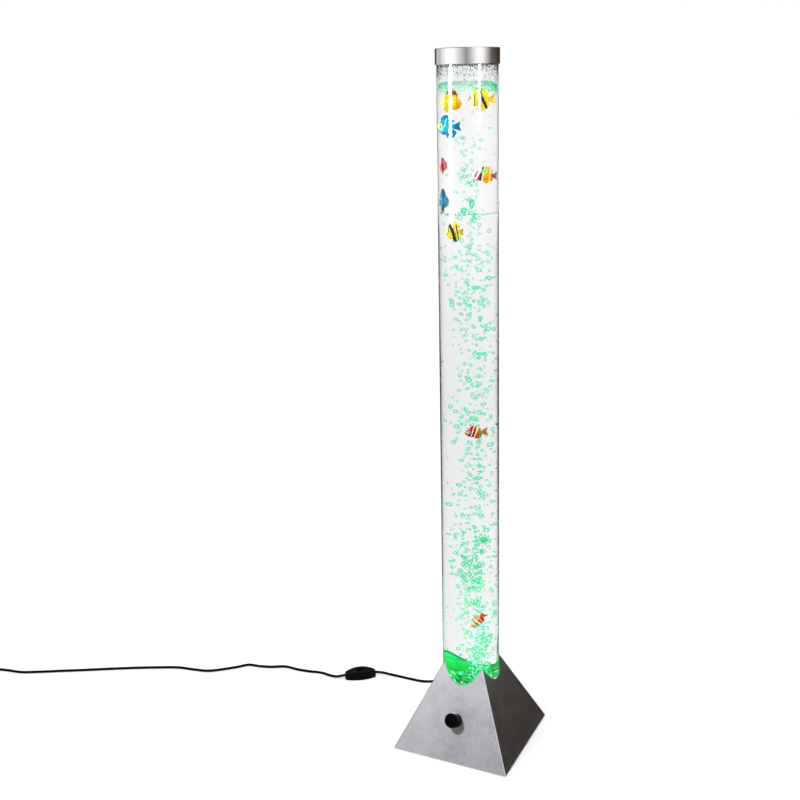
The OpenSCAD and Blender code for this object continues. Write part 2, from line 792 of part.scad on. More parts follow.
// Straight run and quarter bend of the air hose, along +z and in the x-z plane
module hose_section() {
    difference() {
        circle(hose_r, $fn = 48);
        circle(hose_bore_r, $fn = 48);
    }
}
module hose_bend_from(angle) {
    rotate([90, 0, 0]) rotate([0, 0, angle])
        rotate_extrude(angle = 90) translate([hose_bend, 0]) hose_section();
}
module pump_hose() {
    end_x = check_x + check_l / 2;
    color("white", 0.6) rotate([0, 0, run_angle]) {
        translate([run_r, 0, hose_z])
            linear_extrude(run_z - hose_bend - hose_z) hose_section();
        translate([run_r - hose_bend, 0, run_z - hose_bend]) hose_bend_from(0);
        translate([end_x, 0, run_z]) rotate([0, 90, 0])
            linear_extrude(run_r - hose_bend - end_x) hose_section();
    }
}
module riser_hose() {
    end_x = check_x - check_l / 2;
    color("white", 0.6) rotate([0, 0, run_angle]) {
        translate([hose_bend, 0, run_z]) rotate([0, 90, 0])
            linear_extrude(end_x - hose_bend) hose_section();
        translate([hose_bend, 0, run_z + hose_bend]) hose_bend_from(180);
        translate([0, 0, run_z + hose_bend])
            linear_extrude(nut_z - 2.5 - run_z - hose_bend) hose_section();
    }
}
// One-way valve that keeps the water out of the pump
module check_valve() {
    r = hose_bore_r - hose_gap;
    half = check_l / 2;
    color("deepskyblue") rotate([0, 0, run_angle]) translate([check_x, 0, run_z])
        rotate([0, 90, 0]) rotate_extrude() polygon([
            [0, -half - check_nipple], [r, -half - check_nipple], [r, -half],
            [check_r - 1, -half], [check_r, -half + 1], [check_r, -1], [check_r - 0.8, -1],
            [check_r - 0.8, 1], [check_r, 1], [check_r, half - 1], [check_r - 1, half],
            [r, half], [r, half + check_nipple], [0, half + check_nipple]
        ]);
}

// Electrics --------------------------------------------------------------------

module control_board() {
    color("seagreen") translate([board_x, 0, board_z]) difference() {
        translate([-board_w / 2, -board_l / 2, 0]) cube([board_w, board_l, board_t]);
        for (sx = [-1, 1]) for (sy = [-1, 1])
            translate([sx * board_hole_x, sy * board_hole_y, -1])
                cylinder(r = small_screw_r + screw_gap, h = board_t + 2, $fn = 32);
    }
}
// Transformer, capacitors, chip and connectors on the control board
module board_parts() {
    translate([board_x, 0, board_top]) {
        color("gold") translate([-9, -13, 0]) cube([18, 16, 15]);
        color("dimgray") translate([-11.5, -9, 1]) difference() {
            cube([23, 8, 13]);
            translate([2.4, -1, -1]) cube([18.2, 10, 15]);
        }
        color("navy") translate([-14, 10, 0]) cylinder(r = 4, h = 13, $fn = 48);
        color("navy") translate([-5, 11, 0]) cylinder(r = 3, h = 9, $fn = 48);
        color("black") translate([3, 6, 0]) cube([10, 7, 2.4]);
        color("white") translate([-6, board_l / 2 - 8, 0]) cube([20, 7, 7]);
    }
}
module board_screws() {
    color("gainsboro") for (sx = [-1, 1]) for (sy = [-1, 1])
        translate([board_x + sx * board_hole_x, sy * board_hole_y, board_top]) pan_screw(6);
}
module terminal_block() {
    color("white") difference() {
        translate([gland_x - terminal_w / 2, terminal_y - terminal_l / 2, plate_z])
            cube([terminal_w, terminal_l, terminal_h]);
        for (sx = [-1, 1]) translate([gland_x + sx * 4, terminal_y, plate_z + terminal_h - 4])
            cylinder(r = 2, h = 6, $fn = 32);
    }
}
// Insulated leads: terminals to board, board to lights, board to pump, board to dial
module inner_leads() {
    lead_r = 1;
    led_x = 3 - ledge_r;
    dial_back = [0, -half_at(dial_z), dial_z]
        + (shell_t + pot_h + 2) * [0, sin(face_angle), -cos(face_angle)];
    color("firebrick") {
        for (sx = [-1, 1]) translate([gland_x + 3 * sx, terminal_y - terminal_l / 2, board_top + 3.5])
            rotate([90, 0, 0])
                cylinder(r = lead_r, h = terminal_y - terminal_l / 2 - board_l / 2 + 1, $fn = 32);
        for (sy = [-1, 1]) translate([led_x, 3 * sy, board_top])
            cylinder(r = lead_r, h = seat_z - board_top, $fn = 32);
        routed_tube([
            [-37, -10, board_top - 12], [-37, -10, board_top], [-37, -10, board_top + 5],
            [-31, -10, board_top + 10], [-15, -10, board_top + 10],
            [pump_x - pump_w / 2, -10, board_top + 10],
            [pump_x - pump_w / 2 + 12, -10, board_top + 10]
        ], 3, lead_r, 8, [0, 1, 0]);
        routed_tube([
            [-46, -17, board_top - 12], [-46, -17, board_top], [-46, -18, board_top + 8],
            [-47, -32, board_top + 18], [-42, -46, board_top + 28],
            [-24, dial_back[1] + 10, dial_back[2] + 2], dial_back + [-8, 4, 0],
            dial_back + [-2, 0.4, 0], dial_back + [10, -8, 0]
        ], 3, lead_r, 8, [0.6, 0.8, 0]);
    }
}

// Dial -------------------------------------------------------------------------

// Round dimmer body behind the face, its threaded bushing through it
module dial_body() {
    pad = 1.2;
    color("darkgray") on_front_face() difference() {
        union() {
            translate([0, 0, -shell_t - pad - pot_h]) cylinder(r = pot_r, h = pot_h, $fn = 64);
            translate([0, 0, -shell_t - pad - hair])
                cylinder(r = bushing_r, h = shell_t + pad + bushing_out, $fn = 48);
            translate([-6, -pot_r - 4, -shell_t - pad - pot_h + 3]) cube([12, 8, 1.4]);
        }
        translate([0, 0, -shell_t - pad - pot_h + 2])
            cylinder(r = dial_shaft_r + run_gap, h = 40, $fn = 48);
    }
}
module dial_nut() {
    color("gainsboro") on_front_face() difference() {
        cylinder(r = dial_nut_r, h = dial_nut_t, $fn = 6);
        translate([0, 0, -1]) cylinder(r = bushing_r + run_gap, h = dial_nut_t + 2, $fn = 48);
    }
}
module dial_flat(extra) {
    translate([-20, dial_shaft_r - 1.5 + extra, bushing_out + 0.5]) cube([40, 20, 40]);
}
module dial_shaft() {
    top = knob_gap + knob_h - 4.5;
    color("gainsboro") on_front_face() difference() {
        translate([0, 0, -shell_t - 1.2 - pot_h + 3])
            cylinder(r = dial_shaft_r, h = top + shell_t + 1.2 + pot_h - 3, $fn = 48);
        dial_flat(0);
    }
}
// Turned knob: hollow behind, domed rim and a dished front
module dial_knob() {
    r = knob_r;
    h = knob_h;
    edge = 2.4;
    dish = 1.1;
    wall = 2;
    color([0.03, 0.03, 0.03]) on_front_face() translate([0, 0, knob_gap]) difference() {
        rotate_extrude() polygon(concat(
            [[0, 0], [r - 0.5, 0], [r, 0.5], [r - 0.7, h - edge]],
            [for (a = [15 : 15 : 90])
                [r - 0.7 - edge + edge * cos(a), h - edge + edge * sin(a)]],
            [for (t = [0.2 : 0.2 : 1])
                [(r - 0.7 - edge) * (1 - t), h - dish * sin(90 * t)]]
        ));
        difference() {
            translate([0, 0, -1]) cylinder(r = r - wall - 0.7, h = h - 3, $fn = 64);
            translate([0, 0, bushing_out]) cylinder(r = dial_shaft_r + 1.8, h = h, $fn = 48);
        }
        difference() {
            translate([0, 0, bushing_out - 1])
                cylinder(r = dial_shaft_r + run_gap, h = h - 4.5 - bushing_out + 1.1, $fn = 48);
            translate([0, 0, -knob_gap]) dial_flat(run_gap);
        }
    }
}

// Mains lead ---------------------------------------------------------------------

// Moulded strain relief: inner flange, neck in the wall, ribbed taper outside
module cord_gland() {
    l = gland_tip_y - gland_in_y;
    taper_from = rear_y - gland_in_y + 6;
    ribs = 4;
    step = (l - taper_from - 2) / ribs;
    function taper_r(y) =
        gland_r - (gland_r - gland_tip_r) * (y - taper_from) / (l - taper_from);
    color([0.05, 0.05, 0.05]) translate([gland_x, gland_in_y, gland_z]) rotate([-90, 0, 0])
        rotate_extrude($fn = 64) polygon(concat(
            [[0, 0], [gland_flange_r, 0], [gland_flange_r, gland_flange_t],
                [gland_r, gland_flange_t], [gland_r, taper_from]],
            [for (i = [0 : ribs - 1]) let (y = taper_from + i * step)
                each [[taper_r(y + 0.3), y + 0.3], [taper_r(y + 0.3) - 0.9, y + 0.9],
                    [taper_r(y + 0.3) - 0.9, y + 1.9], [taper_r(y + 2.5), y + 2.5]]],
            [[gland_tip_r, l], [0, l]]
        ));
}
// The lead inside the foot, gland to terminals
module mains_lead() {
    end_y = terminal_y + terminal_l / 2;
    color("black") translate([gland_x, gland_in_y, gland_z]) rotate([90, 0, 0])
        cylinder(r = cord_r, h = gland_in_y - end_y, $fn = 48);
}
module cord_clamp() {
    color("white") translate([gland_x, clamp_y, plate_z]) difference() {
        translate([-clamp_w / 2, -clamp_l / 2, 0]) cube([clamp_w, clamp_l, clamp_h]);
        translate([0, clamp_l, gland_z - plate_z]) rotate([90, 0, 0])
            cylinder(r = cord_r + run_gap, h = 2 * clamp_l, $fn = 48);
        for (sx = [-1, 1]) translate([sx * 6, 0, -1])
            cylinder(r = small_screw_r, h = clamp_h + 2, $fn = 32);
    }
}
module cord_to_switch() {
    color([0.05, 0.05, 0.05]) routed_tube(route_to_switch, 2, cord_r, 8);
}
module cord_to_coil() {
    color([0.05, 0.05, 0.05]) routed_tube(route_to_coil, 2, cord_r, 8);
}
module cord_coil() {
    color([0.05, 0.05, 0.05]) swept_tube(coil_path, cord_r, coil_sides);
}

// Inline switch, in its own place and direction
module at_switch() {
    translate(switch_at) rotate([0, 0, switch_yaw]) children();
}
// Outer form: barrel-shaped from above, arched from the side
module switch_form() {
    intersection() {
        linear_extrude(switch_h) intersection() {
            square([switch_l, switch_w], center = true);
            translate([0, side_arc - switch_w / 2]) circle(side_arc);
            translate([0, switch_w / 2 - side_arc]) circle(side_arc);
        }
        rotate([90, 0, 0]) linear_extrude(switch_w + 2, center = true) intersection() {
            translate([-switch_l / 2, 0]) square([switch_l, switch_h]);
            translate([0, switch_h - top_arc]) circle(top_arc, $fn = 180);
        }
    }
}
module switch_base() {
    color([0.06, 0.06, 0.06]) at_switch() difference() {
        intersection() {
            switch_form();
            translate([-switch_l, -switch_w, 0]) cube([2 * switch_l, 2 * switch_w, switch_split]);
        }
        translate([-13, -6, 2]) cube([26, 12, switch_split]);
        for (sx = [-1, 1]) translate([sx * switch_screw_x, 0, -1]) {
            cylinder(r = small_screw_r + screw_gap, h = switch_split + 2, $fn = 32);
            cylinder(r = small_head_r + screw_gap, h = 3.4, $fn = 32);
        }
    }
}
module switch_cover() {
    well_l = rocker_l + 1.6;
    well_w = rocker_w + 0.8;
    color([0.06, 0.06, 0.06]) at_switch() difference() {
        intersection() {
            switch_form();
            translate([-switch_l, -switch_w, switch_split])
                cube([2 * switch_l, 2 * switch_w, switch_h]);
        }
        translate([-well_l / 2, -well_w / 2, switch_split - 1]) cube([well_l, well_w, switch_h]);
        translate([0, 7.2, rocker_z]) rotate([90, 0, 0])
            cylinder(r = rocker_pin_r + run_gap, h = 14.4, $fn = 32);
        for (sx = [-1, 1]) translate([sx * switch_screw_x, 0, switch_split - 1])
            cylinder(r = small_screw_r + screw_gap, h = 5.5, $fn = 32);
    }
}
module switch_screws() {
    color("gainsboro") at_switch() for (sx = [-1, 1])
        translate([sx * switch_screw_x, 0, 2.4]) rotate([180, 0, 0]) pan_screw(9);
}
// Rocker, tilted to its on position: two finger slopes and a toe for the contact
module switch_rocker() {
    half = rocker_l / 2;
    color([0.12, 0.12, 0.12]) at_switch() translate([0, 0, rocker_z])
        rotate([0, rocker_tilt, 0]) {
            rotate([90, 0, 0]) linear_extrude(rocker_w, center = true) polygon([
                [-half, 1.2], [-half, 5.6], [-half + 0.8, 6.3], [-3.5, 5.5], [0, 5.2],
                [3.5, 5.5], [half - 0.8, 6.3], [half, 5.6], [half, 1.2], [3, -1.8],
                [1.6, -5.5], [-1.6, -5.5], [-3, -1.8]
            ]);
            rotate([90, 0, 0]) cylinder(r = rocker_pin_r, h = 14, center = true, $fn = 32);
        }
}

// Two-pin plug lying flat, its pins along -Y
module plug_body() {
    w = plug_w / 2;
    t = plug_t / 2;
    color([0.05, 0.05, 0.05]) translate([plug_tail[0], plug_face_y, plug_axis_z]) {
        intersection() {
            linear_extrude(plug_t, center = true) polygon([
                [-w + 1, 0], [w - 1, 0], [w, 1], [w, 9], [w - 1.5, 16], [w - 6, 25],
                [w - 10, 32], [6, plug_l], [-6, plug_l], [10 - w, 32], [6 - w, 25],
                [1.5 - w, 16], [-w, 9], [-w, 1]
            ]);
            rotate([90, 0, 90]) linear_extrude(2 * plug_w, center = true) polygon([
                [0, -t + 0.8], [0.8, -t], [22, -t], [plug_l, -4.4], [plug_l, 4.4],
                [22, t], [0.8, t], [0, t - 0.8]
            ]);
            rotate([-90, 0, 0]) linear_extrude(plug_l) polygon([
                [-w, -3], [-w + 4.5, -t], [w - 4.5, -t], [w, -3],
                [w, 3], [w - 4.5, t], [-w + 4.5, t], [-w, 3]
            ]);
        }
        translate([0, plug_l - hair, 0]) rotate([-90, 0, 0]) rotate_extrude($fn = 48) polygon([
            [0, 0], [4.4, 0], [4.3, 2], [3.5, 2.6], [3.5, 3.6], [4.2, 4.2], [4.1, 6],
            [3.3, 6.6], [3.3, 7.6], [3.9, 8.2], [plug_tail_r, plug_tail_l + hair],
            [0, plug_tail_l + hair]
        ]);
    }
}
module plug_pins() {
    color("gainsboro") for (sx = [-1, 1])
        translate([plug_tail[0] + sx * pin_half, plug_face_y, plug_axis_z])
            rotate([90, 0, 0]) {
                cylinder(r = pin_r, h = pin_l - 1, $fn = 64);
                translate([0, 0, pin_l - 1]) cylinder(r1 = pin_r, r2 = pin_r - 0.9, h = 1, $fn = 64);
            }
}

// Cap ------------------------------------------------------------------------------

// Spun metal cap: flat top, small rolled edge, skirt over the tube
module top_cap() {
    inner = tube_r + slide_gap;
    outer = inner + cap_wall;
    edge = 1;
    color("silver") rotate_extrude($fn = 128) polygon(concat(
        [[0, lamp_h - cap_top_t], [inner, lamp_h - cap_top_t], [inner, lamp_h - cap_h],
            [outer - 0.4, lamp_h - cap_h], [outer, lamp_h - cap_h + 0.4]],
        [for (a = [0 : 30 : 90])
            [outer - edge + edge * cos(a), lamp_h - edge + edge * sin(a)]],
        [[0, lamp_h]]
    ));
}
// Plastic liner: rests on the tube's rim, spigot inside the bore, vented
module cap_liner() {
    spigot_r = bore_r - slide_gap;
    spigot_wall = 1.6;
    liner_z = tube_top + glue_gap;
    color("white") difference() {
        union() {
            translate([0, 0, liner_z]) cylinder(r = tube_r, h = liner_t);
            translate([0, 0, liner_z - spigot_h]) cylinder(r = spigot_r, h = spigot_h + hair);
        }
        translate([0, 0, liner_z - spigot_h - 1])
            cylinder(r = spigot_r - spigot_wall, h = spigot_h + 1);
        cylinder(r = 3, h = lamp_h, $fn = 48);
        translate([0, -1.5, liner_z + liner_t - 0.8]) cube([tube_r + 1, 3, 2]);
    }
}

// Fish -----------------------------------------------------------------------------

// One moulded fish at a place, nose along local +x before turn and tilt.
// size = [body length, body height, body width], fins = [dorsal, anal, tail length, tail spread]
function fish_half_h(t, h) = h / 2 * (0.8 * pow(sin(180 * pow(t, 0.72)), 0.75) + 0.2 * t);
function fish_half_w(t, w) = w / 2 * (0.88 * pow(sin(180 * pow(t, 0.62)), 0.8) + 0.12 * t);
module fish(at, turn, tilt, size, fins) {
    stations = [0.004, 0.04, 0.11, 0.2, 0.31, 0.43, 0.55, 0.67, 0.78, 0.88, 1];
    sides = 12;
    s = fish_scale;
    l = size[0] * s;
    h = size[1] * s;
    w = size[2] * s;
    function x(t) = l * (0.5 - t);
    top_from = 0.26;
    top_to = 0.9;
    low_from = 0.5;
    low_to = 0.92;
    steps = 6;
    function edge(from, to, i) = from + (to - from) * i / steps;
    translate(at) rotate([0, 0, turn]) rotate([0, -tilt, 0]) {
        skin([for (t = stations) [for (k = [0 : sides - 1])
            [x(t), fish_half_w(t, w) * cos(360 * k / sides),
                -fish_half_h(t, h) * sin(360 * k / sides)]]]);
        rotate([90, 0, 0]) linear_extrude(fin_t, center = true) {
            polygon(concat(
                [for (i = [0 : steps]) let (t = edge(top_from, top_to, i))
                    [x(t) - fins[0] * s * 0.35 * i / steps,
                        fish_half_h(t, h) + fins[0] * s * pow(sin(20 + 145 * i / steps), 0.7) - 0.3]],
                [for (i = [steps : -1 : 0]) let (t = edge(top_from, top_to, i))
                    [x(t), fish_half_h(t, h) * 0.6]]
            ));
            polygon(concat(
                [for (i = [0 : steps]) let (t = edge(low_from, low_to, i))
                    [x(t) - fins[1] * s * 0.4 * i / steps,
                        -fish_half_h(t, h) - fins[1] * s * pow(sin(15 + 150 * i / steps), 0.7) + 0.3]],
                [for (i = [steps : -1 : 0]) let (t = edge(low_from, low_to, i))
                    [x(t), -fish_half_h(t, h) * 0.6]]
            ));
            polygon(concat(
                [[x(0.9), 0.1 * h], [x(0.9), -0.1 * h]],
                [for (a = [-1 : 0.25 : 1])
                    [x(1) - fins[2] * s * (0.78 + 0.22 * abs(a)), fins[3] * s / 2 * a]]
            ));
        }
        for (sy = [-1, 1]) translate([x(0.34), sy * fish_half_w(0.34, w) * 0.9, -0.1 * h])
            rotate([sy * 28, 0, 0]) linear_extrude(fin_t, center = true)
                polygon([[1.5, -sy * 1], [-1.5, -sy * 1], [-6 * s, sy * 4.4 * s], [-3 * s, sy * 4.8 * s]]);
        for (sy = [-1, 1]) translate([x(0.13), sy * fish_half_w(0.13, w) * 0.78, 0.1 * h])
            sphere(r = 1.1 * s, $fn = 20);
    }
}

module fish_lemon() {
    color("yellow") fish([-14, -17, water_z - 30], 26, -6, [24, 22, 9], [12, 7, 8, 16]);
}
module fish_gold() {
    color("gold") fish([11, 7, water_z - 25], 206, 0, [24, 24, 9], [9, 9, 9, 15]);
}
module fish_cyan() {
    color("deepskyblue") fish([-27, -2, water_z - 68], 206, -4, [21, 26, 9], [9, 10, 8, 16]);
}
module fish_scarlet() {
    color("crimson") fish([-29, -11, water_z - 128], 80, 10, [19, 18, 8], [5, 5, 8, 13]);
}
module fish_clown() {
    color("darkorange") fish([15, 12, water_z - 145], 206, 3, [22, 18, 9], [7, 6, 8, 15]);
}
module fish_blue() {
    color("royalblue") fish([-29, -8, water_z - 186], 70, 0, [20, 23, 8], [12, 10, 8, 14]);
}
module fish_banded() {
    color("gold") fish([-16, -17, water_z - 235], 206, -4, [18, 23, 8], [11, 7, 7, 12]);
}
module fish_striped() {
    color("tomato") fish([4, 3, water_at(0.443)], 206, -5, [21, 17, 8], [6, 5, 8, 15]);
}
module fish_low() {
    color("orangered") fish([7, 3, water_at(0.1085)], 236, -50, [21, 15, 8], [5, 4, 7, 13]);
}

pyramid_housing();
base_plate();
base_screws();
rubber_feet();
tube_socket();
socket_screws();
socket_gasket();
acrylic_tube();
tube_floor();
air_nozzle();
nozzle_seal();
nozzle_nut();
air_stone();
led_board();
led_chips();
led_screws();
pump_case();
pump_cover();
pump_pads();
pump_core();
pump_coil();
pump_arm();
pump_diaphragm();
pump_valve();
check_valve();
pump_hose();
riser_hose();
control_board();
board_parts();
board_screws();
terminal_block();
inner_leads();
dial_body();
dial_nut();
dial_shaft();
dial_knob();
cord_gland();
mains_lead();
cord_clamp();
cord_to_switch();
switch_base();
switch_cover();
switch_screws();
switch_rocker();
cord_to_coil();
cord_coil();
plug_body();
plug_pins();
top_cap();
cap_liner();
fish_lemon();
fish_gold();
fish_cyan();
fish_scarlet();
fish_clown();
fish_blue();
fish_banded();
fish_striped();
fish_low();
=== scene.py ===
import json
import math
import random

import bmesh
import bpy
from mathutils import Matrix, Vector

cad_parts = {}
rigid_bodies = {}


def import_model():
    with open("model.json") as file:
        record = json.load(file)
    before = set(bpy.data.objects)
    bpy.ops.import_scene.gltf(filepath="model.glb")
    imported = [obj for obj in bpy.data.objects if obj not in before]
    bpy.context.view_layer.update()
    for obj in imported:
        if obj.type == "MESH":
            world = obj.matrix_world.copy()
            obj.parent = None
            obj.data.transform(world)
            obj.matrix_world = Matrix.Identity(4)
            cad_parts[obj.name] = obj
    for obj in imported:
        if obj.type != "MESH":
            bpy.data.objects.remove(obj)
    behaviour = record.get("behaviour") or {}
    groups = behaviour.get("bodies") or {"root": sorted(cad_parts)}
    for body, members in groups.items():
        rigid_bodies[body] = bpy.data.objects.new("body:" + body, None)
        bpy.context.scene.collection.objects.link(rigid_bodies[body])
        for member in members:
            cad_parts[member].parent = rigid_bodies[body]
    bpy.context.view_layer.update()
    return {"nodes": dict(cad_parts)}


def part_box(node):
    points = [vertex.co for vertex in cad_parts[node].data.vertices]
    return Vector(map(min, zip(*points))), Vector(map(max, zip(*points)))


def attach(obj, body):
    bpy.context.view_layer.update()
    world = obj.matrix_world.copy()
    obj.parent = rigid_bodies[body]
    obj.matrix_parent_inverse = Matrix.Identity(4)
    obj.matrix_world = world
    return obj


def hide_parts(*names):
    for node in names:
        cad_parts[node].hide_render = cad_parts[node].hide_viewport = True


for stray in list(bpy.data.objects):
    bpy.data.objects.remove(stray)
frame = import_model()
nodes = frame["nodes"]
scene = bpy.context.scene
scene.view_settings.view_transform = "Standard"
MM = 0.001

# ---------------------------------------------------------------- camera
RIGHT = Vector((0.90094875, 0.43349621, -0.01929708))
UP = Vector((-0.07640508, 0.20225717, 0.97634743))
BACK = Vector((0.42714588, -0.8781646, 0.21534466))
lens = bpy.data.cameras.new("camera")
lens.lens = 50.179
lens.sensor_width = 36
lens.shift_y = -0.0807
camera = bpy.data.objects.new("camera", lens)
scene.collection.objects.link(camera)
turn = Matrix((RIGHT, UP, BACK)).transposed().to_4x4()
camera.matrix_world = Matrix.Translation((0.691763, -1.685723, 1.138023)) @ turn
scene.camera = camera
CAMERA_DEG = -67.7
CAMERA_AZ = math.radians(CAMERA_DEG)
TO_CAMERA = (math.cos(CAMERA_AZ), math.sin(CAMERA_AZ))
# Directions on the floor: across the photograph and away from the camera
ACROSS = (0.9011, 0.4336)
AWAY = (-0.4336, 0.9011)


# ---------------------------------------------------------------- node tools
class Paint:
    """A material's node tree, built by short calls."""

    def __init__(self, name, world=None):
        if world is None:
            self.mat = bpy.data.materials.new(name)
            self.mat.use_nodes = True
            self.tree = self.mat.node_tree
            self.tree.nodes.clear()
            self.out = self.node("OutputMaterial")
        else:
            self.tree = world.node_tree
            self.tree.nodes.clear()
            self.out = self.node("OutputWorld")
        self.place = None

    def node(self, kind, **props):
        made = self.tree.nodes.new("ShaderNode" + kind)
        for key, value in props.items():
            setattr(made, key, value)
        return made

    def put(self, socket, value):
        """Links a socket to a socket, or sets its number or colour."""
        if isinstance(value, bpy.types.NodeSocket):
            self.tree.links.new(value, socket)
        elif isinstance(value, (tuple, list)) and len(value) == 3 and socket.type == "RGBA":
            socket.default_value = (*value, 1)
        else:
            socket.default_value = value

    def feed(self, kind, sockets, **props):
        """A node with some of its sockets filled, by name or place."""
        made = self.node(kind, **props)
        for key, value in sockets.items():
            self.put(made.inputs[key], value)
        return made

    def co(self):
        if self.place is None:
            self.place = self.node("TexCoord").outputs["Object"]
        return self.place

    def xyz(self, vector=None):
        return self.feed("SeparateXYZ", {0: vector or self.co()}).outputs

    def joined(self, x, y, z):
        return self.feed("CombineXYZ", {0: x, 1: y, 2: z}).outputs[0]

    def math(self, kind, *values, clamp=False):
        return self.feed("Math", dict(enumerate(values)), operation=kind, use_clamp=clamp).outputs[0]

    def times(self, a, b):
        return self.math("MULTIPLY", a, b)

    def madd(self, a, factor, offset):
        return self.math("MULTIPLY_ADD", a, factor, offset)

    def plus(self, a, b):
        return self.math("ADD", a, b)

    def minus(self, a, b):
        return self.math("SUBTRACT", a, b)

    def over(self, a, b):
        return self.math("DIVIDE", a, b)

    def invert(self, a):
        return self.minus(1.0, a)

    def absolute(self, a):
        return self.math("ABSOLUTE", a)

    def mix(self, share, a, b):
        return self.feed("Mix", {0: share, 6: a, 7: b}, data_type="RGBA").outputs[2]

    def tinted(self, tone, mask, share, colour):
        """The tone with a share of the colour where the mask is."""
        return self.mix(self.times(mask, share), tone, colour)

    def step(self, value, low, high):
        """Smoothly from 0 at low to 1 at high."""
        return self.feed("MapRange", {0: value, 1: low, 2: high}, interpolation_type="SMOOTHSTEP").outputs[0]

    def fade(self, value, low, high):
        return self.invert(self.step(value, low, high))

    def scaled(self, factors):
        return self.feed("Mapping", {0: self.co(), 3: factors}).outputs[0]

    def noise(self, scale, detail=2.0, rough=0.5, at=None, bend=0.0):
        return self.feed("TexNoise", {"Vector": at or self.co(), "Scale": scale, "Detail": detail,
                                      "Roughness": rough, "Distortion": bend}).outputs[0]

    def cells(self, scale, at=None, rand=1.0):
        return self.feed("TexVoronoi", {"Vector": at or self.co(), "Scale": scale,
                                        "Randomness": rand}).outputs[0]

    def wave(self, scale, axis, bend, at=None):
        return self.feed("TexWave", {"Vector": at or self.co(), "Scale": scale, "Distortion": bend},
                         bands_direction=axis).outputs[1]

    def ramp(self, value, stops, kind="LINEAR"):
        made = self.feed("ValToRGB", {0: value})
        band = made.color_ramp
        band.interpolation = kind
        while len(band.elements) < len(stops):
            band.elements.new(0.5)
        for element, (place, _) in zip(band.elements, stops):
            element.position = place
        for element, (_, colour) in zip(band.elements, stops):
            if isinstance(colour, (int, float)):
                colour = (colour, colour, colour)
            element.color = (*colour, 1)
        return made.outputs[0]

    def rise(self, height, strength, distance):
        return self.feed("Bump", {"Strength": strength, "Distance": distance, "Height": height}).outputs[0]

    def end(self, shader):
        self.put(self.out.inputs[0], shader)
        return getattr(self, "mat", None)

    def surface(self, tone, rough, bump=None, clear=None, **more):
        """Ends the tree with a Principled shader. Underscores in a name stand for spaces. Where clear is
        given, lamps shine through with that colour."""
        sockets = {"Base Color": tone, "Roughness": rough}
        sockets.update((name.replace("_", " "), value) for name, value in more.items())
        if bump is not None:
            sockets["Normal"] = bump
        shader = self.feed("BsdfPrincipled", sockets).outputs[0]
        if clear:
            see = self.feed("BsdfTransparent", {0: clear}).outputs[0]
            by_lamp = self.node("LightPath").outputs["Is Shadow Ray"]
            shader = self.feed("MixShader", {0: by_lamp, 1: shader, 2: see}).outputs[0]
        return self.end(shader)


def shade(colour, factor):
    """A colour made darker or lighter."""
    return tuple(max(0.0, min(1.0, c * factor)) for c in colour)


# ---------------------------------------------------------------- materials
def moulded(name, colour, rough, vary=0.1, grain=1400, relief=0.12, level=0.5):
    """Injection-moulded plastic: fine spark-eroded grain, faint flow marks and handling wear."""
    p = Paint(name)
    flow = p.noise(38, 3, 0.55, bend=0.4)
    tooth = p.noise(grain, 3, 0.6)
    dust = p.step(p.noise(260, 5, 0.7), 0.62, 0.8)
    tone = p.mix(flow, shade(colour, 1 - vary), shade(colour, 1 + vary))
    tone = p.tinted(tone, dust, 0.1 * level, (0.45, 0.44, 0.42))
    r = p.madd(tooth, 0.16, rough - 0.08)
    r = p.madd(dust, 0.12, r)
    return p.surface(tone, r, p.rise(tooth, relief, 0.0002), Specular_IOR_Level=level)


def gloss_black(name, colour, rough):
    """Black knob, slightly rubbed."""
    p = Paint(name)
    haze = p.noise(60, 4, 0.6)
    hair = p.noise(500, 2, 0.5, at=p.scaled((1, 1, 0.12)))
    tone = p.mix(haze, shade(colour, 0.8), shade(colour, 1.6))
    r = p.madd(haze, 0.1, rough - 0.04)
    r = p.madd(hair, 0.06, r)
    return p.surface(tone, r, p.rise(hair, 0.03, 0.0001), Specular_IOR_Level=0.05)


def turned(name, colour, rough, stretch=(1, 1, 60), grain=55, aniso=0.5, relief=0.12):
    """Bare metal with the fine lines of its turning or brushing."""
    p = Paint(name)
    lines = p.noise(grain, 6, 0.75, at=p.scaled(stretch))
    blot = p.noise(30, 3, 0.6)
    tone = p.mix(lines, shade(colour, 0.86), shade(colour, 1.06))
    tone = p.tinted(tone, p.step(blot, 0.5, 0.75), 0.25, shade(colour, 0.7))
    r = p.madd(lines, 0.14, rough - 0.07)
    r = p.madd(blot, 0.08, r)
    return p.surface(tone, r, p.rise(lines, relief, 0.0001), Metallic=1.0, Anisotropic=aniso)


def rubber(name, colour):
    """Moulded rubber with a faint bloom."""
    p = Paint(name)
    skin = p.noise(900, 4, 0.65)
    bloom = p.step(p.noise(70, 4, 0.6), 0.45, 0.8)
    tone = p.tinted(colour, bloom, 0.4, shade(colour, 2.4))
    r = p.madd(skin, 0.2, 0.65)
    return p.surface(tone, r, p.rise(skin, 0.25, 0.0002), Specular_IOR_Level=0.35, Sheen_Weight=0.08,
                     Sheen_Roughness=0.5)


def cable(name, colour):
    """PVC sheath: soft gloss, faint lengthwise drag marks and a little dust on top."""
    p = Paint(name)
    drag = p.noise(420, 3, 0.6)
    soft = p.noise(45, 2, 0.5)
    z = p.xyz()[2]
    dust = p.times(p.step(z, 0.003, 0.0052), p.step(p.noise(900, 4, 0.7), 0.5, 0.75))
    tone = p.mix(soft, shade(colour, 0.75), shade(colour, 1.5))
    tone = p.tinted(tone, dust, 0.05, (0.4, 0.39, 0.37))
    r = p.madd(drag, 0.14, 0.36)
    return p.surface(tone, r, p.rise(drag, 0.08, 0.0002), Specular_IOR_Level=0.1)


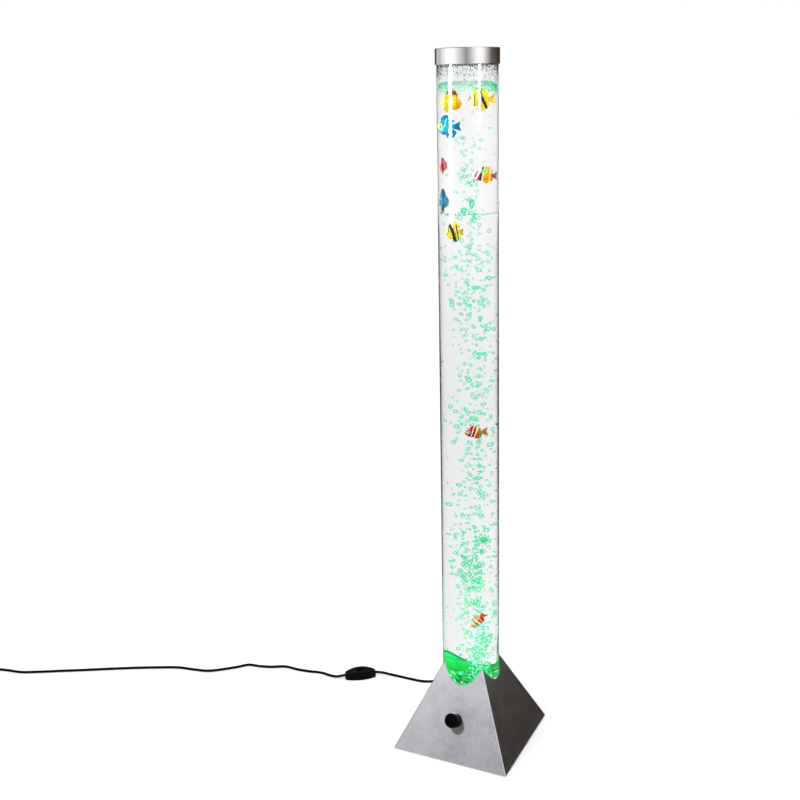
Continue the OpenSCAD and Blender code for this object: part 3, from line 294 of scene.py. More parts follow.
def silver_paint():
    """Metallic paint on the moulded foot, painted lighter towards the top and the left, with a painted green
    tint on the right face and a painted green glow in the bore for the light of the ring board.
    """
    p = Paint("silver_paint")
    x, y, z = p.xyz()
    flake = p.cells(1500)
    mottle = p.noise(620, 4, 0.7)
    drift = p.noise(34, 4, 0.62)
    grain = p.noise(150, 4, 0.7)
    tone = p.mix(flake, (0.47, 0.485, 0.51), (0.62, 0.635, 0.66))
    tone = p.tinted(tone, mottle, 0.4, (0.42, 0.43, 0.45))
    tone = p.tinted(tone, p.step(drift, 0.38, 0.62), 0.4, (0.33, 0.34, 0.36))
    tone = p.tinted(tone, p.step(grain, 0.42, 0.62), 0.2, (0.78, 0.79, 0.8))
    # painted light: the paint is made a little lighter towards the top
    tone = p.tinted(tone, p.step(z, 0.03, 0.14), 0.12, (0.8, 0.81, 0.82))
    # painted light: the paint is lighter towards the left, the side the lamps shine from
    painted_light_left = p.fade(x, -0.07, 0.01)
    tone = p.tinted(tone, painted_light_left, 0.3, (0.84, 0.85, 0.86))
    # painted light: a green tint at the top of the right face for the ring board's light
    facing = p.xyz(p.node("NewGeometry").outputs["Normal"])[0]
    painted_green_spill = p.times(p.step(z, 0.11, 0.15), p.step(facing, 0.8, 0.9))
    tone = p.tinted(tone, painted_green_spill, 0.45, (0.3, 1.0, 0.5))
    r = p.madd(mottle, 0.16, 0.3)
    # Inside the bore: a dark green base and a painted green glow for the ring board's light, brighter low
    # down, in patches and streaks
    away = p.math("SQRT", p.plus(p.times(x, x), p.times(y, y)))
    inside = p.fade(away, 0.0504, 0.0507)
    low = p.fade(z, 0.112, 0.15)
    widest = p.math("MAXIMUM", p.absolute(x), p.absolute(y))
    below_rim = p.minus(p.madd(widest, -2.1445, 0.2262), z)
    # painted shade: the glow fades at the rim of the bore
    painted_rim_shade = p.madd(p.step(below_rim, 0.0014, 0.006), 0.86, 0.14)
    patch = p.step(p.noise(48, 3, 0.6, bend=1.2), 0.35, 0.65)
    streak = p.step(p.noise(60, 3, 0.6, at=p.scaled((1, 1, 7))), 0.4, 0.62)
    glow = p.times(inside, p.madd(patch, 0.5, 0.72))
    glow = p.times(glow, p.madd(streak, 0.4, 0.75))
    glow = p.times(glow, painted_rim_shade)
    lit = p.mix(low, (0.0, 1.0, 0.28), (0.0, 0.55, 0.03))
    tone = p.mix(inside, tone, (0.0, 0.08, 0.02))
    metal = p.invert(inside)
    return p.surface(tone, r, p.rise(mottle, 0.1, 0.0002), Metallic=metal, Emission_Color=lit,
                     Emission_Strength=glow)


def lit_floor():
    """Clear disc over the lamps, painted as a green glow with dark pockets, and pale and warm painted glints
    of the lenses below.
    """
    p = Paint("lit_floor")
    x, y, z = p.xyz()
    q = p.madd(x, ACROSS[0], p.times(y, ACROSS[1]))
    d = p.madd(x, -0.13, p.times(y, 0.27))
    flat = p.joined(q, d, z)
    facets = p.noise(210, 3, 0.6)
    # painted light: patches of green glow and dark pockets
    painted_glow_patches = p.noise(150, 3, 0.62, at=flat, bend=0.6)
    tone = p.ramp(painted_glow_patches, [(0.0, (0.0, 0.012, 0.004)), (0.42, (0.0, 0.03, 0.008)), (0.47, (0.0, 0.2, 0.02)),
                         (0.51, (0.0, 0.8, 0.1)), (0.57, (0.01, 0.4, 0.07)), (0.63, (0.02, 0.9, 0.28)),
                         (0.72, (0.1, 0.85, 0.4))])
    # painted glints of the lenses below
    painted_lens_glint = p.fade(p.cells(170, at=flat), 0.2, 0.32)
    warm = p.step(p.noise(70, 2, 0.5, at=flat), 0.5, 0.62)
    tone = p.tinted(tone, painted_lens_glint, 0.9, p.mix(warm, (0.5, 1.0, 0.75), (0.95, 0.85, 0.6)))
    return p.surface((0.0, 0.1, 0.03), 0.2, p.rise(facets, 0.3, 0.0008), Specular_IOR_Level=0.25,
                     Emission_Color=tone, Emission_Strength=1.0)


def water_skin():
    p = Paint("water_surface")
    return p.surface((0.93, 0.99, 0.97), 0.0, p.rise(p.noise(60, 3, 0.5), 0.5, 0.004), (0.95, 0.97, 0.96),
                     IOR=1.333, Transmission_Weight=1.0)


def acrylic(name, ior):
    """Cast tube: clear, with the faintest drawing waves along it."""
    p = Paint(name)
    wave = p.noise(26, 2, 0.5, at=p.scaled((1, 1, 0.06)))
    film = p.noise(8, 3, 0.6)
    tint = p.mix(film, (0.97, 0.985, 0.98), (0.995, 1.0, 0.998))
    return p.surface(tint, 0.0, p.rise(wave, 0.05, 0.0004), (0.93, 0.95, 0.94), IOR=ior,
                     Transmission_Weight=1.0, Specular_Tint=(0.55, 0.55, 0.55))


def bubble_skin(name, centre, rim, glow, shine=0.0):
    """Air in lit water: the middle is clear. The rim is painted green with a painted glow, for the green
    light from below; shine gives the middle a painted glow.
    """
    p = Paint(name)
    # painted light: the rim's green tone and glow stand for the green light from below
    ring = p.step(p.feed("LayerWeight", {0: 0.5}).outputs[1], 0.06, 0.42)
    film = p.noise(900, 2, 0.5)
    tone = p.mix(ring, centre, p.mix(film, shade(rim, 0.8), shade(rim, 1.2)))
    return p.surface(tone, 0.0, None, (0.9, 1.0, 0.95), IOR=1.06, Transmission_Weight=1.0,
                     Emission_Color=p.mix(ring, (0.5, 1.0, 0.8), (0.01, 0.8, 0.36)),
                     Emission_Strength=p.madd(ring, glow - shine, shine))


def fibre_board():
    """Green solder mask with tracks under it and tinned pads."""
    p = Paint("board_mask")
    tracks = p.feed("TexBrick", {"Vector": p.co(), "Color1": (0.006, 0.11, 0.035),
                                 "Color2": (0.01, 0.16, 0.05), "Mortar": (0.02, 0.27, 0.09),
                                 "Scale": 210, "Mortar Size": 0.06})
    pads = p.fade(p.cells(260, rand=0.7), 0.1, 0.16)
    tone = p.tinted(tracks.outputs[0], pads, 0.8, (0.6, 0.58, 0.55))
    weave = p.noise(1800, 2, 0.5)
    return p.surface(tone, p.madd(weave, 0.15, 0.22), p.rise(tracks.outputs[1], 0.2, 0.0001),
                     Metallic=p.times(pads, 0.8))


def components():
    """Capacitor cans, a transformer and chips, told apart by where they stand."""
    p = Paint("board_components")
    block = p.cells(75)
    made = p.ramp(block, [(0.0, (0.02, 0.02, 0.022)), (0.28, (0.03, 0.03, 0.035)),
                          (0.34, (0.02, 0.06, 0.2)), (0.5, (0.35, 0.33, 0.3)),
                          (0.7, (0.5, 0.3, 0.04))], "CONSTANT")
    fine = p.noise(900, 3, 0.6)
    return p.surface(p.tinted(made, fine, 0.3, (0.1, 0.1, 0.1)), p.madd(fine, 0.2, 0.3),
                     p.rise(fine, 0.15, 0.0002))


def lenses():
    p = Paint("diode_lens")
    dome = p.cells(420)
    tone = p.mix(dome, (1.0, 0.9, 0.4), (0.55, 1.0, 0.62))
    return p.surface((0.95, 0.92, 0.6), 0.18, p.rise(dome, 0.3, 0.0004), Transmission_Weight=0.3,
                     Emission_Color=tone, Emission_Strength=0.8)


def porous():
    p = Paint("sintered_stone")
    grit = p.cells(900)
    pore = p.step(grit, 0.05, 0.4)
    speck = p.noise(1300, 3, 0.6)
    # painted light: the stone's green stands for the ring board's light, and specks glow as painted glints
    tone = p.mix(pore, (0.0, 0.02, 0.006), (0.01, 0.2, 0.06))
    shine = p.times(p.step(p.noise(260, 3, 0.6), 0.44, 0.6), 0.75)
    return p.surface(p.tinted(tone, speck, 0.3, (0.1, 0.6, 0.3)), 0.92, p.rise(grit, 0.9, 0.0008),
                     Emission_Color=p.mix(speck, (0.0, 0.6, 0.1), (0.1, 1.0, 0.4)),
                     Emission_Strength=shine)


def silicone():
    p = Paint("silicone_hose")
    haze = p.noise(300, 3, 0.5)
    tone = p.mix(haze, (0.8, 0.82, 0.8), (0.92, 0.94, 0.93))
    return p.surface(tone, p.madd(haze, 0.12, 0.28), p.rise(haze, 0.08, 0.0002),
                     Subsurface_Weight=0.35, Subsurface_Scale=0.004)


def copper():
    p = Paint("enamelled_copper")
    turns = p.wave(900, "Y", 0.4)
    lacquer = p.noise(120, 2)
    tone = p.mix(turns, (0.28, 0.08, 0.025), (0.78, 0.33, 0.12))
    tone = p.tinted(tone, lacquer, 0.3, (0.5, 0.16, 0.04))
    return p.surface(tone, 0.28, p.rise(turns, 0.7, 0.0004), Metallic=0.9)


def laminations():
    p = Paint("core_laminations")
    sheets = p.wave(320, "Z", 0.2)
    rust = p.step(p.noise(140, 4, 0.7), 0.52, 0.8)
    tone = p.mix(sheets, (0.18, 0.18, 0.19), (0.42, 0.42, 0.43))
    tone = p.tinted(tone, rust, 0.35, (0.26, 0.12, 0.05))
    return p.surface(tone, p.madd(rust, 0.3, 0.38), p.rise(sheets, 0.5, 0.0003), Metallic=0.85)


def lead_paint():
    """The thin leads inside the foot: red, a little brighter with height."""
    p = Paint("lead_insulation")
    z = p.xyz()[2]
    hue = p.ramp(p.times(z, 10.0), [(0.0, (0.5, 0.02, 0.015)), (0.24, (0.45, 0.03, 0.02)),
                                    (0.3, (0.55, 0.02, 0.02)), (0.9, (0.62, 0.04, 0.02))])
    fine = p.noise(700, 3, 0.6)
    return p.surface(p.tinted(hue, fine, 0.25, (0.25, 0.01, 0.01)), p.madd(fine, 0.15, 0.3),
                     p.rise(fine, 0.1, 0.0002))


LOOKS = {
    "silver_housing": silver_paint(),
    "clear_floor": lit_floor(),
    "brushed_metal": turned("cap_brushed_steel", (0.86, 0.855, 0.85), 0.13, (1, 1, 42), 60, 0.0, 0.015),
    "black_gloss": gloss_black("knob_black", (0.002, 0.002, 0.0022), 0.36),
    "black_plastic": moulded("black_abs", (0.0025, 0.0025, 0.0027), 0.34, 0.25, 1500, 0.16, level=0.14),
    "black_cable": cable("black_pvc_sheath", (0.003, 0.003, 0.0033)),
    "black_rubber": rubber("black_rubber_compound", (0.02, 0.02, 0.02)),
    "grey_plastic": moulded("grey_nylon", (0.3, 0.3, 0.31), 0.45, 0.1),
    "white_plastic": moulded("white_abs", (0.82, 0.82, 0.8), 0.38, 0.05),
    "ivory_plastic": moulded("ivory_pom", (0.78, 0.72, 0.58), 0.34, 0.06),
    "stone": porous(),
    "board_green": fibre_board(),
    "led_lens": lenses(),
    "parts_mixed": components(),
    "screw_steel": turned("zinc_screw", (0.62, 0.61, 0.57), 0.3, (1, 1, 9), 260, 0.2),
    "core_steel": laminations(),
    "copper_wire": copper(),
    "hose_silicone": silicone(),
    "lead_red": lead_paint(),
    "plated_pin": turned("nickel_pin", (0.78, 0.75, 0.7), 0.2, (1, 14, 1), 220, 0.3),
    "check_blue": moulded("check_valve_blue", (0.03, 0.16, 0.5), 0.3, 0.12),
}
nodes["air_nozzle"].data.materials[0] = moulded("nozzle_in_green_light", (0.02, 0.4, 0.14), 0.35, 0.2)
for node in nodes.values():
    slot = node.data.materials[0].name.split(".")[0] if node.data.materials else ""
    if slot in LOOKS:
        node.data.materials[0] = LOOKS[slot]


# ---------------------------------------------------------------- cords
def link(obj):
    scene.collection.objects.link(obj)
    return obj


def smooth_route(points, steps):
    """A Catmull-Rom curve through the points, kept off the floor."""
    made = []
    for i in range(1, len(points) - 2):
        a, b, c, d = points[i - 1:i + 3]
        for s in range(steps):
            t = s / steps
            p = [0.5 * (2 * b[k] + (c[k] - a[k]) * t + (2 * a[k] - 5 * b[k] + 4 * c[k] - d[k]) * t * t
                        + (3 * b[k] - a[k] - 3 * c[k] + d[k]) * t ** 3) for k in range(3)]
            made.append((p[0], p[1], max(p[2], GROUND)))
    made.append(tuple(points[-2]))
    return made


SWITCH_AT, SWITCH_YAW = (-273, 88), math.radians(35)


def on_switch(x, z):
    """A place x along the inline switch."""
    return (SWITCH_AT[0] + x * math.cos(SWITCH_YAW), SWITCH_AT[1] + x * math.sin(SWITCH_YAW), z)


# The coil: turns inwards in the lower layer, then outwards in the upper one. All lengths in mm
TURNS, PITCH, MEAN_D, LAYER = 4.25, 6.4, 55, 5.5
COIL_AT = (-1004, -226)
WIND = (TURNS - 0.5) / 2
OUT_R = (MEAN_D + PITCH * WIND) / 2
IN_R = OUT_R - PITCH * WIND
GROUND = 2.5  # height of the lead's middle on the floor, and its radius


def coil_point(u):
    """A place on the coil, u turns from its start."""
    if u < WIND:
        radius, lift = OUT_R - PITCH * u, 0.0
    elif u < WIND + 0.5:
        t = (u - WIND) / 0.5
        radius, lift = IN_R, t * t * (3 - 2 * t)
    else:
        radius, lift = IN_R + PITCH * (u - WIND - 0.5), 1.0
    angle = math.radians(90 + 360 * u)
    return (COIL_AT[0] + radius * math.cos(angle), COIL_AT[1] + radius * math.sin(angle),
            GROUND + LAYER * lift)


to_switch = [(-50, 110.57, 11), (-50, 122.57, 11), (-51, 130, 10), (-56, 140, 7), (-66, 147, 4),
             (-80, 148, GROUND), (-106, 140, GROUND), (-130, 129, GROUND), (-150, 120, GROUND),
             (-175, 118, GROUND), (-203, 118, GROUND), (-221, 117, 3), (-236, 113, 5.5),
             on_switch(30, 8), on_switch(18, 8)]
start = coil_point(0)
start = (start[0] + 10, start[1], start[2])
to_coil = [on_switch(-18, 8), on_switch(-30, 8), (-313, 64, 5)]
to_coil += [(x, y, GROUND) for x, y in (
    (-332, 66), (-352, 68), (-376, 63), (-402, 60), (-430, 60), (-456, 47), (-480, 40), (-502, 36),
    (-520, 18), (-541, -1), (-565, -18), (-595, -25), (-628, -31), (-665, -47), (-710, -69),
    (-755, -93), (-800, -118), (-845, -142), (-880, -161), (-910, -175), (-938, -180), (-964, -186))]
to_coil += [start, (start[0] - 12, start[1], start[2])]
tail = (coil_point(TURNS)[0], coil_point(TURNS)[1] - 24, 6.85)
coil = [(start[0] - 5, start[1], start[2])]
coil += [coil_point(i / 64) for i in range(int(TURNS * 64) + 1)]
coil += smooth_route([coil_point(4.2), coil_point(TURNS), (tail[0], tail[1] + 16.8, 7.8),
                      (tail[0], tail[1] + 7, 6.95), (tail[0], tail[1] + 5, 6.85), tail,
                      (tail[0], tail[1] - 5, 6.85)], 3)[1:]


def cord_curve(name, points, radius):
    """A round lead along the points."""
    curve = bpy.data.curves.new(name, "CURVE")
    curve.dimensions = "3D"
    curve.bevel_depth = radius * MM
    curve.bevel_resolution = 5
    curve.use_fill_caps = True
    spline = curve.splines.new("POLY")
    spline.points.add(len(points) - 1)
    for spot, place in zip(spline.points, points):
        spot.co = (place[0] * MM, place[1] * MM, place[2] * MM, 1)
    curve.materials.append(LOOKS["black_cable"])
    return link(bpy.data.objects.new(name, curve))


first_run = smooth_route(to_switch, 6)
second_run = smooth_route(to_coil, 6) + coil
lead_first = cord_curve("lead_to_switch", first_run, GROUND)
lead_second = cord_curve("lead_to_plug", second_run, GROUND)
for lead, gone in ((lead_first, ("cord_to_switch",)), (lead_second, ("cord_to_coil", "cord_coil"))):
    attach(lead, "lamp")
    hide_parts(*gone)


# ---------------------------------------------------------------- mesh tools
def mesh_piece(name, verts, faces, materials, picks=None, body="lamp"):
    """A smooth mesh from places in mm, on one of the bodies."""
    mesh = bpy.data.meshes.new(name)
    mesh.from_pydata([(x * MM, y * MM, z * MM) for x, y, z in verts], [], faces)
    mesh.update()
    for material in materials:
        mesh.materials.append(material)
    if picks:
        mesh.polygons.foreach_set("material_index", picks)
    mesh.polygons.foreach_set("use_smooth", [True] * len(mesh.polygons))
    obj = link(bpy.data.objects.new(name, mesh))
    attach(obj, body)
    return obj


def around(sides):
    """Equal steps round a circle."""
    return [2 * math.pi * k / sides for k in range(sides)]


def polar(radius, angle):
    return radius * math.cos(angle), radius * math.sin(angle)


def bands(n, rings, base=0, closed=True, loop=False, flip=False):
    """Quads between neighbouring rings of n points. A loop goes on from the last ring to the first."""
    made = []
    for i in range(rings if loop else rings - 1):
        a, b = base + i * n, base + (i + 1) % rings * n
        for k in range(n if closed else n - 1):
            m = (k + 1) % n
            made.append((a + k, a + m, b + m, b + k) if flip else (a + k, b + k, b + m, a + m))
    return made


def crease(mesh, angle, weld=False):
    """Keeps edges sharper than the angle sharp. Weld joins doubled points first."""
    made = bmesh.new()
    made.from_mesh(mesh)
    if weld:
        bmesh.ops.remove_doubles(made, verts=made.verts, dist=1e-7)
        bmesh.ops.recalc_face_normals(made, faces=made.faces)
    for edge in made.edges:
        if len(edge.link_faces) == 2 and edge.calc_face_angle(0) > angle:
            edge.smooth = False
    made.to_mesh(mesh)
    made.free()


# ---------------------------------------------------------------- tube and water
WATER_Z, FLOOR_Z, TUBE_LOW, TUBE_TOP = 1143.0, 109.8, 91.8, 1196.45
TUBE_R, BORE_R, WALL_R = 50, 47, 46.9
RIM, MENISCUS = 0.7, 0.7


def tube_mesh():
    """The acrylic tube. The band of its bore below the water has the look of a wet wall."""
    arc = (0.5, 1.05, 1.57)
    top = TUBE_TOP - RIM
    profile = [(TUBE_R, TUBE_LOW + RIM), (TUBE_R, top)]
    profile += [(TUBE_R - RIM + RIM * math.cos(a), top + RIM * math.sin(a)) for a in arc]
    profile += [(BORE_R + RIM - RIM * math.cos(a), top + RIM * math.sin(a)) for a in (*arc[::-1], 0)]
    wet_band = len(profile)
    profile += [(BORE_R, WATER_Z + MENISCUS), (BORE_R, FLOOR_Z), (BORE_R, TUBE_LOW + RIM),
                (BORE_R + RIM, TUBE_LOW), (TUBE_R - RIM, TUBE_LOW)]
    sides = 180
    verts = [(*polar(r, a), z) for r, z in profile for a in around(sides)]
    picks = [int(i == wet_band) for i in range(len(profile)) for _ in range(sides)]
    made = mesh_piece("clear_tube", verts, bands(sides, len(profile), loop=True, flip=True),
                      [acrylic("acrylic_wall", 1.49), acrylic("acrylic_wall_wet", 1.1178)],
                      picks)
    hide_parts("acrylic_tube")
    crease(made.data, 0.6)
    return made


def water_surface():
    """A meniscus at the wall and small waves from the bubbles."""
    rings = [3, 7, 12, 17, 22, 27, 31, 35, 38.5, 41, 43, 44.5, 45.6, 46.3, 46.7, WALL_R]
    sides = 96
    verts = [(0, 0, WATER_Z)]
    for r in rings:
        for a in around(sides):
            lift = MENISCUS * math.exp(-(WALL_R - r) / 1.5)
            wave = 0.5 * math.sin(r * 0.5 + 3 * a) * math.sin(r * 0.21 - 2 * a + 1)
            wave *= min(1, (BORE_R - r) / 10)
            verts.append((*polar(r, a), WATER_Z + lift + wave))
    faces = [(0, 1 + k, 1 + (k + 1) % sides) for k in range(sides)]
    faces += bands(sides, len(rings), 1)
    mesh_piece("water_surface", verts, faces, [water_skin()])


tube = tube_mesh()
water_surface()

# ---------------------------------------------------------------- fish
# Of each fish: middle, yaw, pitch, (length, height, width), (fin on the back, fin under the belly,
# length of the tail, span of the tail). Degrees and mm
FISH = {
    "lemon": ((-14, -17, WATER_Z - 30), 26, -6, (24, 22, 9), (12, 7, 8, 16)),
    "gold": ((11, 7, WATER_Z - 25), 206, 0, (24, 24, 9), (9, 9, 9, 15)),
    "cyan": ((-27, -2, WATER_Z - 68), 206, -4, (21, 26, 9), (9, 10, 8, 16)),
    "scarlet": ((-29, -11, WATER_Z - 128), 80, 10, (19, 21, 8), (5, 5, 8, 13)),
    "clown": ((15, 12, WATER_Z - 145), 206, 3, (22, 20, 9), (7, 6, 8, 15)),
    "blue": ((-29, -8, WATER_Z - 186), 70, 0, (20, 23, 8), (12, 10, 8, 14)),
    "banded": ((-16, -17, WATER_Z - 235), 206, -4, (18, 23, 8), (11, 7, 7, 12)),
    "striped": ((4, 3, FLOOR_Z + 0.443 * (WATER_Z - FLOOR_Z)), 206, -5, (21, 17, 8), (6, 5, 8, 15)),
    "low": ((7, 3, FLOOR_Z + 0.1085 * (WATER_Z - FLOOR_Z)), 236, -50, (21, 15, 8), (5, 4, 7, 13)),
}
# Paint of each fish: a ground colour, then layers. Places run from nose 0 to tail 1, belly 0 to back 1.
# band: middle, half width, slant. spot: middle and radius, each along and up. The others: edge, softness
BLACK, WHITE = (0.004, 0.004, 0.005), (0.95, 0.95, 0.9)
COATS = {
    "lemon": ((0.94, 0.58, 0.0), [
        ("below", 0.42, 0.3, (0.9, 0.36, 0.0)), ("above", 1.12, 0.1, (0.3, 0.0, 0.02)),
        ("spot", 0.74, 0.2, 0.14, 0.16, (0.1, 0.72, 0.02)), ("band", 0.27, 0.02, 0.1, (0.3, 0.1, 0.01)),
        ("spot", 0.12, 0.3, 0.05, 0.06, (0.35, 0.12, 0.02)), ("after", 1.0, 0.04, (0.98, 0.8, 0.2))]),
    "gold": ((1.0, 0.6, 0.0), [
        ("before", 0.27, 0.03, (0.98, 0.85, 0.4)), ("band", 0.3, 0.018, 0.0, BLACK),
        ("above", 0.85, 0.12, (1.0, 0.74, 0.0)), ("band", 0.73, 0.075, -0.32, BLACK),
        ("spot", 0.65, 0.72, 0.05, 0.09, (0.02, 0.6, 0.12)), ("band", 0.02, 0.03, 0.3, (0.4, 0.2, 0.02)),
        ("after", 1.0, 0.04, (1.0, 0.42, 0.02))]),
    "cyan": ((0.0, 0.47, 0.58), [
        ("above", 0.72, 0.2, (0.0, 0.32, 0.56)), ("below", 0.26, 0.1, (0.0, 0.2, 0.48)),
        ("band", 0.34, 0.02, 0.5, (0.6, 0.92, 0.8)), ("spot", 0.14, 0.58, 0.13, 0.19, (0.9, 0.9, 0.02)),
        ("spot", 0.13, 0.58, 0.06, 0.1, (0.0, 0.35, 0.25)), ("above", 1.06, 0.1, (0.0, 0.2, 0.42)),
        ("after", 0.98, 0.05, (0.0, 0.12, 0.3))]),
    "scarlet": ((0.56, 0.0, 0.005), [
        ("band", 0.28, 0.035, 0.1, WHITE), ("band", 0.6, 0.035, 0.1, WHITE),
        ("before", 0.12, 0.04, (0.2, 0.0, 0.01)), ("above", 0.98, 0.1, (0.12, 0.0, 0.01)),
        ("after", 1.0, 0.05, (0.7, 0.12, 0.02))]),
    "clown": ((1.0, 0.33, 0.0), [
        ("before", 0.33, 0.02, (0.62, 0.0, 0.04)), ("band", 0.17, 0.045, 0.3, WHITE),
        ("band", 0.37, 0.05, 0.1, BLACK), ("band", 0.455, 0.022, 0.1, WHITE),
        ("spot", 0.5, 0.85, 0.2, 0.16, (0.1, 0.72, 0.16)), ("spot", 0.5, 0.5, 0.05, 0.1, (0.15, 0.7, 0.16)),
        ("band", 0.84, 0.03, 0.05, (0.9, 0.7, 0.4)), ("after", 0.95, 0.05, (0.2, 0.05, 0.01))]),
    "blue": ((0.0, 0.2, 0.44), [
        ("spot", 0.5, 0.55, 0.3, 0.3, (0.0, 0.34, 0.56)), ("above", 0.98, 0.2, (0.0, 0.12, 0.28)),
        ("below", 0.1, 0.15, (0.0, 0.07, 0.18)), ("spot", 0.36, 0.7, 0.06, 0.07, (0.0, 0.03, 0.14)),
        ("band", 0.9, 0.03, 0.0, (0.25, 0.6, 0.5))]),
    "banded": ((0.95, 0.72, 0.0), [
        ("band", 0.1, 0.04, 0.35, BLACK), ("spot", 0.2, 0.35, 0.14, 0.16, (1.0, 0.5, 0.0)),
        ("band", 0.52, 0.13, -0.25, BLACK), ("band", 0.7, 0.022, -0.2, (0.08, 0.3, 0.02)),
        ("band", 0.88, 0.05, -0.1, (0.1, 0.06, 0.0)), ("above", 1.1, 0.1, (0.8, 0.66, 0.05)),
        ("below", -0.06, 0.06, BLACK), ("after", 1.02, 0.05, (0.45, 0.3, 0.03))]),
    "striped": ((0.34, 0.0, 0.0), [
        ("band", 0.16, 0.02, 0.3, (0.5, 0.62, 0.42)), ("band", 0.4, 0.028, 0.3, WHITE),
        ("spot", 0.3, 0.6, 0.1, 0.3, (0.42, 0.0, 0.0)), ("after", 0.66, 0.04, (0.42, 0.22, 0.005)),
        ("band", 0.64, 0.035, 0.3, WHITE), ("band", 0.84, 0.03, 0.2, (0.5, 0.02, 0.01)),
        ("after", 1.0, 0.05, (0.35, 0.1, 0.02))]),
    "low": ((0.98, 0.3, 0.0), [
        ("below", 0.66, 0.06, (0.6, 0.004, 0.01)), ("band", 0.22, 0.05, 0.2, WHITE),
        ("band", 0.5, 0.055, 0.2, WHITE), ("band", 0.78, 0.04, 0.2, (1.0, 0.8, 0.2)),
        ("after", 0.95, 0.04, (0.6, 0.1, 0.01))]),
}


def fish_paint(name):
    """Hand-painted look of one fish: its layers, a gill line, scales and fin rays."""
    ground_tone, coats = COATS[name]
    p = Paint("paint_" + name)
    uv = p.node("UVMap", uv_map="side")
    u, v, _ = p.xyz(uv.outputs[0])
    warm = (ground_tone[0], ground_tone[1] * 0.55, ground_tone[2] * 0.6)
    tone = p.mix(p.noise(160, 3, 0.6), shade(ground_tone, 0.88), shade(ground_tone, 1.1))
    tone = p.tinted(tone, p.step(p.noise(230, 3, 0.6), 0.46, 0.6), 0.6, warm)
    ragged = p.madd(p.noise(420, 3, 0.6), 0.05, -0.025)
    u = p.plus(u, ragged)
    v = p.plus(v, ragged)
    for coat in coats:
        kind = coat[0]
        if kind == "band":
            _, centre, half, slant, colour = coat
            lean = p.madd(v, -slant, 0.5 * slant - centre)
            off = p.absolute(p.plus(u, lean))
            mask = p.fade(off, half * 0.75, half * 1.25)
        elif kind == "spot":
            _, cu, cv, ru, rv, colour = coat
            du = p.over(p.minus(u, cu), ru)
            dv = p.over(p.minus(v, cv), rv)
            far = p.plus(p.times(du, du), p.times(dv, dv))
            mask = p.fade(far, 0.6, 1.3)
        else:
            _, edge, soft, colour = coat
            value = u if kind in ("before", "after") else v
            mask = p.step(value, edge - soft, edge + soft)
            if kind in ("before", "below"):
                mask = p.invert(mask)
        tone = p.mix(mask, tone, colour)
    scales = p.cells(34, at=uv.outputs[0], rand=0.35)
    rays = p.wave(16, "X", 1.0, at=uv.outputs[0])
    bow = p.math("POWER", p.absolute(p.minus(v, 0.48)), 2.0)
    gill = p.fade(p.absolute(p.minus(p.madd(bow, -0.5, u), 0.31)), 0.006, 0.014)
    tone = p.tinted(tone, gill, 0.6, (0.05, 0.03, 0.02))
    relief = p.plus(p.times(scales, 0.7), p.times(rays, 0.3))
    return p.surface(tone, p.madd(scales, 0.15, 0.26), p.rise(relief, 0.35, 0.0005),
                     Specular_IOR_Level=0.1)


def eye_paint(name, grain, low, high, rough, coat, coat_rough):
    """Lacquer of an eye, between two tones."""
    p = Paint(name)
    return p.surface(p.mix(p.noise(*grain), low, high), rough, Coat_Weight=coat, Coat_Roughness=coat_rough)


EYE_BLACK = eye_paint("fish_eye_black", (900, 2, 0.5), (0.006, 0.006, 0.008), (0.02, 0.02, 0.022),
                      0.08, 0.8, 0.04)
EYE_RING = eye_paint("fish_eye_ring", (700, 3, 0.6), (0.8, 0.74, 0.5), (0.95, 0.92, 0.8), 0.2, 0.4, 0.1)


def sind(a):
    return math.sin(math.radians(a))


def power(base, exponent):
    return max(0.0, base) ** exponent


def half_h(t, h):
    """Half the body's height at t, from nose 0 to tail 1."""
    return h / 2 * (0.8 * power(sind(180 * t ** 0.72), 0.75) + 0.2 * t)


def half_w(t, w):
    """Half the body's width at t."""
    return w / 2 * (0.88 * power(sind(180 * t ** 0.62), 0.8) + 0.12 * t)


